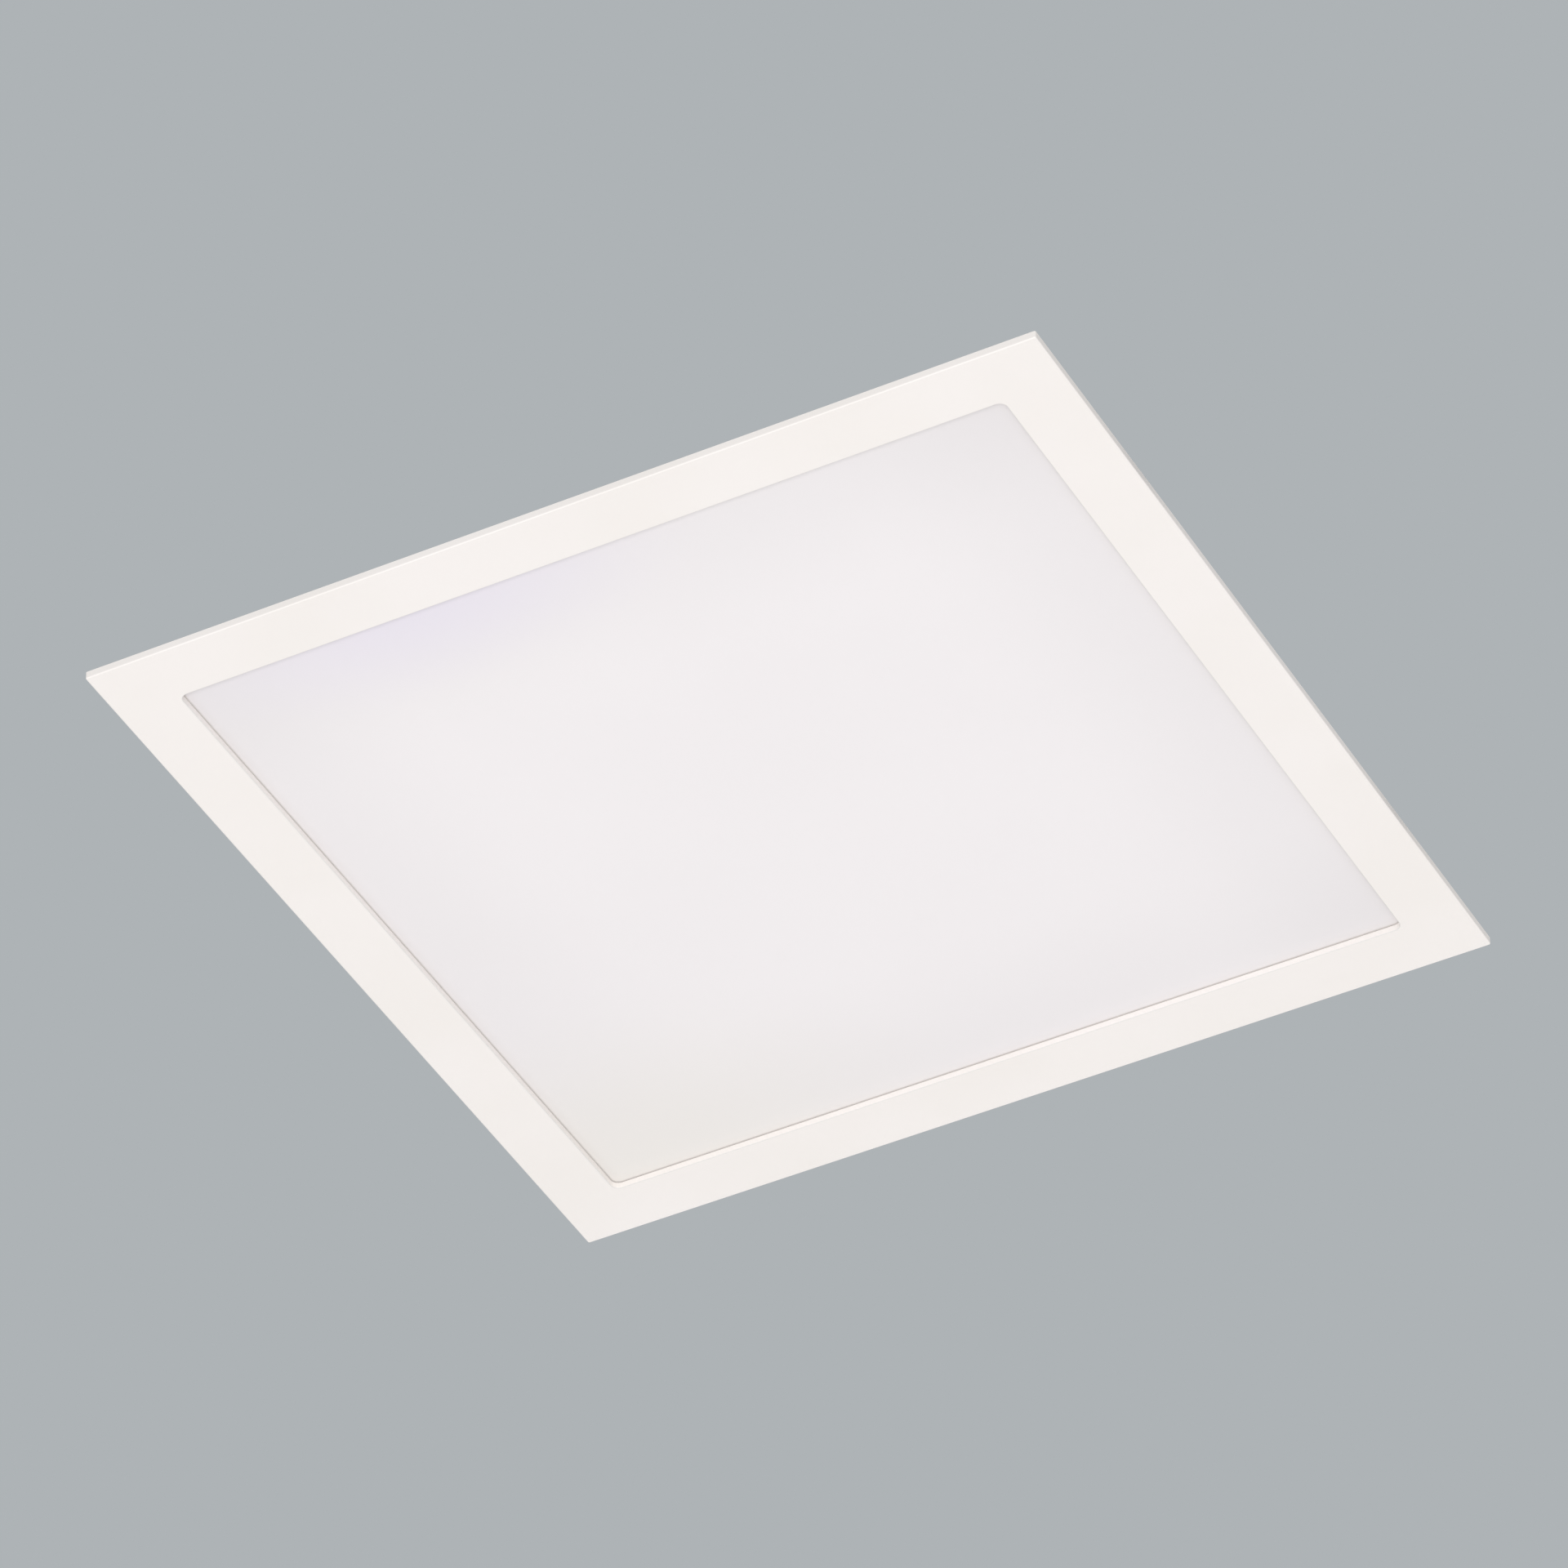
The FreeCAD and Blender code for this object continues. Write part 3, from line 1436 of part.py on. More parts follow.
def arc_through(start, direction, end):
    """The circular arc that leaves start in this direction and ends at end."""
    chord = end - start
    along = unit(chord)
    sideways = direction - along * direction.dot(along)
    if sideways.Length < 1e-9:
        return Part.LineSegment(start, end)
    angle = math.acos(max(-1.0, min(1.0, direction.dot(along))))
    rise = chord.Length / 2 * math.tan(angle / 2)
    return Part.Arc(start, (start + end) * 0.5 + unit(sideways) * rise, end)


def biarc(start, direction, end, end_direction):
    """Two tangent arcs from one point and direction to another."""
    gap = end - start
    both = direction + end_direction
    spread = 2 * (1 - direction.dot(end_direction))
    root = math.sqrt(gap.dot(both) ** 2 + spread * gap.dot(gap))
    reach_out = (root - gap.dot(both)) / spread
    middle = (start + end + (direction - end_direction) * reach_out) * 0.5
    turned = middle_direction(start, direction, middle)
    return [arc_through(start, direction, middle), arc_through(middle, turned, end)]


def middle_direction(start, direction, middle):
    """The direction in which an arc that leaves start this way arrives at its other end."""
    along = unit(middle - start)
    return along * (2 * direction.dot(along)) - direction


def spring_path():
    """The spring's centre line: base leg, turns and arm leg, as edges in order.

    Seen along +Y, with X to the right and Z up, the wire runs anticlockwise round the pin.
    """
    radius = coil_radius.number
    half_width = coil_half_width.number
    tilt = math.radians(size("arm_rest_angle").number)
    sweep = 2 * math.pi * coil_turns.number
    climb = 2 * half_width / sweep
    steps = 4 * round(size("spring_turns").number)

    def coil_point(turned):
        angle = turned - math.pi / 2
        y = turned * climb - half_width
        return Vector(radius * math.cos(angle), y, radius * math.sin(angle))

    def coil_direction(turned):
        angle = turned - math.pi / 2
        return unit(Vector(-radius * math.sin(angle), climb, radius * math.cos(angle)))

    bend = size("spring_leg_bend").number
    bend_x = bend - size("spring_base_leg").number
    seat = size("spring_seat_gap").number - base_drop.number
    corner = bend * math.sqrt(0.5)
    low = Vector(bend_x - bend, -half_width, seat)
    bend_start = Vector(bend_x - bend, -half_width, -radius - bend)
    bend_middle = Vector(bend_x - corner, -half_width, -radius - bend + corner)
    bend_end = Vector(bend_x, -half_width, -radius)
    edges = [
        Part.LineSegment(low, bend_start),
        Part.Arc(bend_start, bend_middle, bend_end),
        Part.LineSegment(bend_end, coil_point(0)),
    ]
    leg_direction = Vector(math.cos(tilt), 0, -math.sin(tilt))
    for step in range(steps):
        here, there = sweep * step / steps, sweep * (step + 1) / steps
        start_direction = Vector(1, 0, 0) if step == 0 else coil_direction(here)
        end_direction = leg_direction if step == steps - 1 else coil_direction(there)
        edges += biarc(coil_point(here), start_direction, coil_point(there), end_direction)
    leg_start = coil_point(sweep)
    leg_end = leg_start + leg_direction * size("spring_arm_leg").number
    edges.append(Part.LineSegment(leg_start, leg_end))
    return [edge.toShape() for edge in edges]


def least_gap(edges):
    """The least room between two stretches of the wire that are more than half a turn apart."""
    wire = size("spring_wire_radius").number
    points = []
    for edge in edges:
        points += edge.discretize(Distance=wire / 3)[:-1]
    travelled = [0.0]
    for a, b in zip(points, points[1:]):
        travelled.append(travelled[-1] + (b - a).Length)
    half_turn = math.pi * coil_radius.number
    nearest = min(
        (points[i] - points[j]).Length
        for i in range(len(points))
        for j in range(i + 1, len(points))
        if travelled[j] - travelled[i] > half_turn
    )
    return nearest - 2 * wire


def clip_spring():
    """Torsion spring round the pin: one unbroken wire, a leg on the bracket and a leg on the arm."""
    edges = spring_path()
    gap = least_gap(edges)
    print(f"least gap between the spring's turns: {gap:.2f} mm")
    if gap < ROOM_BETWEEN_TURNS:
        raise RuntimeError("the spring's turns are too close")
    start = edges[0].Vertexes[0].Point
    circle = Part.Circle(start, Vector(0, 0, 1), size("spring_wire_radius").number)
    spring = doc.addObject("Part::Feature", "spring")
    spring.Shape = Part.Wire(edges).makePipeShell([Part.Wire([circle.toShape()])], True, False)
    return spring


def clip_rivets():
    """Domed rivets through the brackets and the back cover."""
    master = new_body("rivet")
    profile = add_sketch(master, "rivet_profile", plane="XZ")
    radius, head, tail = size("rivet_radius"), size("rivet_head"), size("rivet_tail")
    head_height, tail_height = size("rivet_head_height"), size("rivet_tail_height")
    grip = size("clip_sheet") + size("cover_thickness")
    add_polygon(
        profile,
        [
            (0, head_height),
            (head, head_height),
            (head, 0),
            (radius, 0),
            (radius, -grip),
            (tail, -grip),
            (tail - size("rivet_tail_slope"), -grip - tail_height),
            (0, -grip - tail_height),
        ],
    )
    revolve(master, profile)
    soften(master, "Fillet", lambda box: at_level(box, head_height), head_height * RIVET_ROUNDING)
    places = []
    for x_side, y_side in CLIPS.values():
        for step in (-1, 1):
            y = clip_y * y_side + rivet_side * step
            places.append((rivet_x * x_side, y, cover_top + size("clip_sheet"), UPRIGHT))
    copies("clip_rivets", master, places)


def spring_clips():
    """Four equal clips, two on the right side and two on the left, each in its own frame."""
    level_pieces = {"bracket": clip_bracket(), "pin": clip_pin(), "spring": clip_spring()}
    tilted_pieces = {"arm": clip_arm(), "sleeve": clip_sleeve()}
    tilt = Rotation(Vector(0, 1, 0), size("arm_rest_angle").number)
    for corner, (x_side, y_side) in CLIPS.items():
        turn = about_z(0 if x_side > 0 else 180)
        x, y = clip_x * x_side, clip_y * y_side
        for piece, master in level_pieces.items():
            copies(f"clip_{piece}_{corner}", master, [(x, y, pin_level, turn)])
        for piece, master in tilted_pieces.items():
            copies(f"clip_{piece}_{corner}", master, [(x, y, pin_level, turn * tilt)])
    clip_rivets()


def check_and_write():
    """Tests every object and sub-part, then writes one STEP file for each sub-part."""
    doc.recompute()
    for thing in doc.Objects:
        if "Invalid" in thing.State or "Error" in thing.State:
            raise RuntimeError(f"{thing.Label} failed: {thing.State}")
    for part in parts:
        if part.Shape.isNull() or not part.Shape.isValid() or not part.Shape.Solids:
            raise RuntimeError(f"{part.Label} has no valid solid")
    os.makedirs("parts", exist_ok=True)
    for part in parts:
        part.Shape.exportStep(f"parts/{part.Label}.step")
        print(f"{part.Label}: {len(part.Shape.Solids)} solids")
    print(f"{len(parts)} sub-parts written")


front_frame()
optical_stack()
back_cover()
cover_screws()
led_boards()
corner_links()
supply_lead("lead_positive", 1)
supply_lead("lead_negative", -1)
lead_grommet()
driver_base()
driver_covers()
driver_screws()
driver_board()
terminal_block()
circuit_parts()
cable_grommet()
spring_clips()
check_and_write()
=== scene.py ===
"""Looks of a square recessed LED ceiling panel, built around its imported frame.

All places are in metres in the part's own frame. The origin is the centre of the panel on the ceiling's lower
surface, +Z points up into the ceiling void, +X is the right side and +Y is the rear side.
"""

import json
import logging
import math
from collections.abc import Callable, Sequence
from dataclasses import dataclass
from enum import Enum
from functools import cached_property
from typing import ClassVar

import bmesh
import bpy
from bmesh.types import BMFace, BMFaceSeq, BMVert, BMVertSeq
from mathutils import Matrix, Vector


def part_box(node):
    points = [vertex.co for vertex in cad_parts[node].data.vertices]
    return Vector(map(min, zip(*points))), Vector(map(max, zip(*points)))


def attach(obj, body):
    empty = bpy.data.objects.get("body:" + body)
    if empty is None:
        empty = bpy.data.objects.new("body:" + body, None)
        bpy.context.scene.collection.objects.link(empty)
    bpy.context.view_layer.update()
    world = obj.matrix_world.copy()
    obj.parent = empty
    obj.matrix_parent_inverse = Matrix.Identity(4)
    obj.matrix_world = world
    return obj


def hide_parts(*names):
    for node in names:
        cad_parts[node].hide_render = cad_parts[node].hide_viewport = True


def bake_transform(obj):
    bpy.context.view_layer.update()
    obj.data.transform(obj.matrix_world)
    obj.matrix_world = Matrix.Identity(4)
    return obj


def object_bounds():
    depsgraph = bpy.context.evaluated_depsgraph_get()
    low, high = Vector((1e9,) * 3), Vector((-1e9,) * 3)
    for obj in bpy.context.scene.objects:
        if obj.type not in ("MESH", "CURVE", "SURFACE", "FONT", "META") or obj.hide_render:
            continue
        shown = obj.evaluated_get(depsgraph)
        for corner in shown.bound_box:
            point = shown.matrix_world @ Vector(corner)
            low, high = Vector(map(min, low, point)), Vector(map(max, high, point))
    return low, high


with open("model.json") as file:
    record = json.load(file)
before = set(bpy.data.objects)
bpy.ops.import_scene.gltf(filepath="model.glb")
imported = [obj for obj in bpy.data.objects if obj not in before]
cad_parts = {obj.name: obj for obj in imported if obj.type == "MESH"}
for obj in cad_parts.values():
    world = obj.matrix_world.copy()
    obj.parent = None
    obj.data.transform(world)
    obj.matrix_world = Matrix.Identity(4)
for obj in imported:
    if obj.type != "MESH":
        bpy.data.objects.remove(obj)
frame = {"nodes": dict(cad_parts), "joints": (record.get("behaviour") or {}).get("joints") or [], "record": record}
FRAME_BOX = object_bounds()

MM = 0.001
MERGE_DISTANCE = 0.001 * MM
PLACE_DIGITS = 6
# The lowest and highest values that the fine and the slow noise mostly keep to
FINE_SPAN = (0.3, 0.7)
CLOUD_SPAN = (0.35, 0.65)
LOG = logging.getLogger("ceiling_panel")

Material = bpy.types.Material
Node = bpy.types.Node
Piece = bpy.types.Object
Socket = bpy.types.NodeSocket
Source = Node | Socket
Colour = tuple[float, float, float, float]
Point = tuple[float, float, float]
Layer = tuple[Source, str]


def linear_colour(code: str) -> Colour:
    """Turns an sRGB hex colour into Blender's linear one.

    Args:
        code: six hex digits.

    Returns:
        Red, green, blue and an alpha of one.
    """
    shares = [int(code[i:i + 2], 16) / 255 for i in (0, 2, 4)]
    red, green, blue = ((s / 12.92 if s <= 0.04045 else ((s + 0.055) / 1.055) ** 2.4) for s in shares)
    return red, green, blue, 1.0


class TreeBuilder:
    """A node tree that is built one node at a time."""

    def __init__(self, tree: bpy.types.NodeTree) -> None:
        """Takes the tree and empties it."""
        self.tree = tree
        self.tree.nodes.clear()

    def add(self, kind: str, feeds: dict | Sequence = (), **settings: object) -> Node:
        """Adds one node, with its settings and what feeds its inputs.

        Args:
            kind: the node's type name.
            feeds: what feeds the inputs, by their names or numbers or else in their order. Each is a
                socket, a node for its first output, a list of these for several links, or a plain value.
            **settings: the node's own properties.

        Returns:
            The new node.
        """
        node = self.tree.nodes.new(kind)
        for name, value in settings.items():
            setattr(node, name, value)
        for key, value in (feeds if isinstance(feeds, dict) else dict(enumerate(feeds))).items():
            for one in value if isinstance(value, list) else [value]:
                source = one.outputs[0] if isinstance(one, Node) else one
                if isinstance(source, Socket):
                    self.tree.links.new(source, node.inputs[key])
                else:
                    node.inputs[key].default_value = source
        return node


class PaintTree(TreeBuilder):
    """The shader tree of a material or of the world."""

    def __init__(self, owner: Material | bpy.types.World) -> None:
        """Takes the owner's tree."""
        owner.use_nodes = True
        super().__init__(owner.node_tree)

    @cached_property
    def place(self) -> Socket:
        """The object coordinates, which every pattern reads."""
        return self.add("ShaderNodeTexCoord").outputs["Object"]


class Grain(Enum):
    """Which way the fine relief of a surface runs, as the share of detail along X, Y and Z."""

    EVEN = (1.0, 1.0, 1.0)
    ALONG_X = (0.05, 1.0, 1.0)
    ALONG_Y = (1.0, 0.05, 1.0)
    ALONG_Z = (1.0, 1.0, 0.05)


@dataclass(frozen=True)
class Finish:
    """A real surface: its colour and gloss, its fine relief and its slow change of tone.

    The grain and relief are the width and height of the finest marks. The cloud is the width of the
    slow patches in which the second tone shows.
    """

    name: str
    colour: str
    second_tone: str
    roughness: float
    roughness_spread: float = 0.04
    metallic: float = 0.0
    ior: float = 1.5
    grain: Grain = Grain.EVEN
    grain_mm: float = 1.0
    relief_mm: float = 0.004
    cloud_mm: float = 30.0
    coat: float = 0.0

    def build(self) -> Material:
        """Makes the Blender material.

        Returns:
            The material, named for this finish.
        """
        material = bpy.data.materials.new(self.name)
        paint = PaintTree(material)
        feeds = {"Metallic": self.metallic, "IOR": self.ior} | self.feeds(paint)
        if self.coat:
            feeds |= {"Coat Weight": self.coat, "Coat Roughness": self.roughness / 2}
        shader = paint.add("ShaderNodeBsdfPrincipled", feeds)
        paint.add("ShaderNodeOutputMaterial", {"Surface": shader})
        return material

    def feeds(self, paint: PaintTree) -> dict[str, object]:
        """Makes what feeds the shader's colour, roughness and normal.

        Args:
            paint: the material's tree.

        Returns:
            The feed of each of these inputs.
        """
        fine = self.fine_noise(paint)
        low, high = self.roughness - self.roughness_spread, self.roughness + self.roughness_spread
        gloss = paint.add("ShaderNodeMapRange", (fine, *FINE_SPAN, low, high))
        bump = {"Height": fine, "Strength": 1.0, "Distance": self.relief_mm * MM}
        relief = paint.add("ShaderNodeBump", bump)
        return {"Base Color": self.tone(paint), "Roughness": gloss, "Normal": relief}

    def fine_noise(self, paint: PaintTree) -> Source:
        """Makes the finest pattern of the surface.

        Args:
            paint: the material's tree.

        Returns:
            The pattern, around one half.
        """
        turns = tuple(share / (self.grain_mm * MM) for share in self.grain.value)
        spread = paint.add("ShaderNodeMapping", {"Vector": paint.place, "Scale": turns})
        settings = {"Vector": spread, "Scale": 1.0, "Detail": 2.0, "Roughness": 0.5}
        return paint.add("ShaderNodeTexNoise", settings).outputs["Fac"]

    def tone(self, paint: PaintTree) -> Source:
        """Makes the colour by laying tones over the finish's own one.

        Args:
            paint: the material's tree.

        Returns:
            The colour.
        """
        colour = linear_colour(self.colour)
        for share, tone in self.layers(paint):
            mix = {0: share, 6: colour, 7: linear_colour(tone)}
            colour = paint.add("ShaderNodeMix", mix, data_type="RGBA").outputs[2]
        return colour

    def layers(self, paint: PaintTree) -> list[Layer]:
        """Lists the tones over the colour: here the slow change to the second tone.

        Args:
            paint: the material's tree.

        Returns:
            Each tone with the share of it that shows, the lowest first.
        """
        slow = {"Vector": paint.place, "Scale": 1 / (self.cloud_mm * MM), "Detail": 3.0}
        cloud = paint.add("ShaderNodeTexNoise", slow).outputs["Fac"]
        share = paint.add("ShaderNodeMapRange", (cloud, *CLOUD_SPAN), interpolation_type="SMOOTHSTEP")
        return [(share, self.second_tone)]


@dataclass(frozen=True)
class Opening:
    """The square opening of the frame, with rounded corners."""

    half_mm: float = 130.5
    round_mm: float = 2.5

    def reach(self, paint: PaintTree) -> Source:
        """Measures how far a point lies beyond the straight stretches of the opening's sides.

        Args:
            paint: the material's tree.

        Returns:
            The distance in millimetres, which equals the corners' radius all along the opening's edge.
        """
        straight = (self.half_mm - self.round_mm) * MM
        away = paint.add("ShaderNodeVectorMath", (paint.place,), operation="ABSOLUTE")
        # A metre is taken off the height, so that none of it is left to count
        beyond = paint.add("ShaderNodeVectorMath", (away, (straight, straight, 1.0)), operation="SUBTRACT")
        beyond = paint.add("ShaderNodeVectorMath", (beyond, (0.0, 0.0, 0.0)), operation="MAXIMUM")
        reach = paint.add("ShaderNodeVectorMath", (beyond,), operation="LENGTH").outputs["Value"]
        return paint.add("ShaderNodeMath", (reach, MM), operation="DIVIDE")


@dataclass(frozen=True)
class CoatedCasting(Finish):
    """Powder coat on the casting, with a thin line of painted shade along the opening's sharp lower edge."""

    opening: Opening = Opening()
    # Painted shade: a slightly darker tone on the opening's lower edge
    edge_shade_tone: str = "E6E3E0"
    edge_shade_mm: float = 0.2
    blur_mm: float = 0.1
    lowest_mm: float = -2.4

    def layers(self, paint: PaintTree) -> list[Layer]:
        """Adds the thin line of painted shade along the opening's sharp lower edge.

        Args:
            paint: the material's tree.

        Returns:
            Each tone with the share of it that shows, the lowest first.
        """
        reach = self.opening.reach(paint)
        edge = self.opening.round_mm + self.edge_shade_mm
        height = paint.add("ShaderNodeSeparateXYZ", (paint.place,)).outputs["Z"]
        top = self.lowest_mm + self.edge_shade_mm
        spans = ((reach, edge + self.blur_mm, edge), (height, (top + self.blur_mm / 2) * MM, top * MM))
        near = [paint.add("ShaderNodeMapRange", span, interpolation_type="SMOOTHSTEP") for span in spans]
        # Painted shade: the mask of the darker line along the opening's lower edge
        line = paint.add("ShaderNodeMath", near, operation="MULTIPLY")
        return [*Finish.layers(self, paint), (line, self.edge_shade_tone)]


@dataclass(frozen=True)
class PaintedLightTint:
    """A faint tint of painted coloured light on a sheet, strongest at its middle."""

    tone: str
    middle_mm: Point
    reach_mm: Point


@dataclass(frozen=True)
class OpalSheet(Finish):
    """Extruded opal sheet with a satin face.

    It carries painted shade: it darkens softly towards the sides of the opening, once from afar and once close to
    them, and most in the corners. A thin dark line of painted shadow runs where it meets the frame. Faint tints of
    painted coloured light lie on it.
    """

    # Painted shade: the tone towards the sides and corners, and the painted shadow at the seam with the frame
    corner_shade_tone: str = "EAE6E7"
    seam_shadow_tone: str = "D4D0CD"
    opening: Opening = Opening()
    # Painted shade: how far from the sides and how strongly the wide and the close darkening reach
    shade_fall_mm: float = 60.0
    shade_fall_share: float = 0.5
    rim_mm: float = 4.0
    rim_shade_share: float = 0.17
    seam_shadow_mm: float = 0.5
    painted_light_tints: tuple[PaintedLightTint, ...] = ()

    def layers(self, paint: PaintTree) -> list[Layer]:
        """Adds the painted shade towards the sides, the tints of painted light and the painted shadow at the seam.

        Args:
            paint: the material's tree.

        Returns:
            Each tone with the share of it that shows, the lowest first.
        """
        edge = self.opening.round_mm
        span = (self.opening.reach(paint), edge - self.seam_shadow_mm, edge)
        # Painted shadow: a thin dark line where the sheet meets the frame
        seam = paint.add("ShaderNodeMapRange", span, interpolation_type="SMOOTHSTEP")
        return [
            *Finish.layers(self, paint),
            # Painted shade towards the sides, then painted coloured light, then painted shade close to the sides
            # and at the seam
            (self.side_shade_share(paint, self.shade_fall_mm, self.shade_fall_share), self.corner_shade_tone),
            *((self.painted_tint_share(paint, cast), cast.tone) for cast in self.painted_light_tints),
            (self.side_shade_share(paint, self.rim_mm, self.rim_shade_share), self.seam_shadow_tone),
            (seam, self.seam_shadow_tone),
        ]

    def side_shade_share(self, paint: PaintTree, depth_mm: float, top: float) -> Source:
        """Makes the share of painted shade that rises towards the opening's sides and adds up in its corners.

        Args:
            paint: the material's tree.
            depth_mm: how far from a side it starts.
            top: its height at a side.

        Returns:
            The share.
        """
        side = self.opening.half_mm * MM
        start = side - depth_mm * MM
        away = paint.add("ShaderNodeVectorMath", (paint.place,), operation="ABSOLUTE")
        across = paint.add("ShaderNodeSeparateXYZ", (away,)).outputs
        spans = [(across[axis], start, side, 0.0, top) for axis in "XY"]
        rises = [paint.add("ShaderNodeMapRange", span, interpolation_type="SMOOTHSTEP") for span in spans]
        return paint.add("ShaderNodeMath", rises, operation="ADD")

    def painted_tint_share(self, paint: PaintTree, cast: PaintedLightTint) -> Source:
        """Makes the soft round share of one tint of painted light.

        Args:
            paint: the material's tree.
            cast: the tint of painted light.

        Returns:
            One at the cast's middle, nothing at its reach.
        """
        middle = tuple(length * MM for length in cast.middle_mm)
        reach = tuple(length * MM for length in cast.reach_mm)
        feeds = {"Vector": paint.place, "Location": middle, "Scale": reach}
        spread = paint.add("ShaderNodeMapping", feeds, vector_type="TEXTURE")
        far = paint.add("ShaderNodeVectorMath", (spread,), operation="LENGTH").outputs["Value"]
        return paint.add("ShaderNodeMapRange", (far, 1.0, 0.0), interpolation_type="SMOOTHSTEP")


@dataclass(frozen=True)
class CellFoam(Finish):
    """Closed-cell foam, cut from a block, so that its cells show as small pits."""

    def fine_noise(self, paint: PaintTree) -> Source:
        """Makes the cells, as the distance from each one's middle."""
        feeds = {"Vector": paint.place, "Scale": 1 / (self.grain_mm * MM)}
        return paint.add("ShaderNodeTexVoronoi", feeds).outputs["Distance"]


@dataclass(frozen=True)
class PrintedGuide(Finish):
    """Clear acrylic with a square grid of white ink dots on its back, which throw the light out."""

    dot_pitch_mm: float = 3.0
    dot_share: float = 0.36
    clarity: float = 0.85

    def feeds(self, paint: PaintTree) -> dict[str, object]:
        """Makes what feeds the shader: clear acrylic between the dots and white ink on them.

        Args:
            paint: the material's tree.

        Returns:
            The feed of its colour, roughness and transmission.
        """
        feeds = {"Vector": paint.place, "Scale": 1 / (self.dot_pitch_mm * MM), "Randomness": 0.0}
        far = paint.add("ShaderNodeTexVoronoi", feeds, voronoi_dimensions="2D").outputs["Distance"]
        dot = paint.add("ShaderNodeMath", (far, self.dot_share), operation="LESS_THAN")
        clear = paint.add("ShaderNodeMath", (self.clarity, dot), operation="SUBTRACT", use_clamp=True)
        tones = {0: dot, 6: linear_colour(self.colour), 7: linear_colour(self.second_tone)}
        colour = paint.add("ShaderNodeMix", tones, data_type="RGBA").outputs[2]
        return {"Base Color": colour, "Roughness": self.roughness, "Transmission Weight": clear}


@dataclass(frozen=True)
class TrackedLaminate(Finish):
    """Circuit board laminate: copper tracks show as paler lines through the solder mask."""

    track_pitch_mm: float = 5.0
    track_mm: float = 0.9

    def tone(self, paint: PaintTree) -> Source:
        """Makes the mask's colour with square-cornered tracks in it.

        Args:
            paint: the material's tree.

        Returns:
            The colour.
        """
        mask = linear_colour(self.colour)
        feeds = {
            "Vector": paint.place,
            "Color1": mask,
            "Color2": mask,
            "Mortar": linear_colour(self.second_tone),
            "Scale": 1 / (self.track_pitch_mm * MM),
            "Mortar Size": self.track_mm / self.track_pitch_mm / 2,
            "Brick Width": 1.9,
            "Row Height": 1.0,
        }
        return paint.add("ShaderNodeTexBrick", feeds, offset=0.37, squash=1.6).outputs["Color"]


@dataclass(frozen=True)
class WoundTape(Finish):
    """Polyester tape wound over a coil, whose edges show as thin lines round it.

    The wave period is the length in metres of one of the wave texture's bands at a scale of one.
    """

    tape_mm: float = 2.4
    wave_period: ClassVar[float] = 0.314

    def fine_noise(self, paint: PaintTree) -> Source:
        """Makes the lines of the tape's edges.

        Args:
            paint: the material's tree.

        Returns:
            Bands across Z.
        """
        feeds = {"Vector": paint.place, "Scale": self.wave_period / (self.tape_mm * MM), "Distortion": 0.6}
        return paint.add("ShaderNodeTexWave", feeds, bands_direction="Z", wave_profile="SAW").outputs["Fac"]


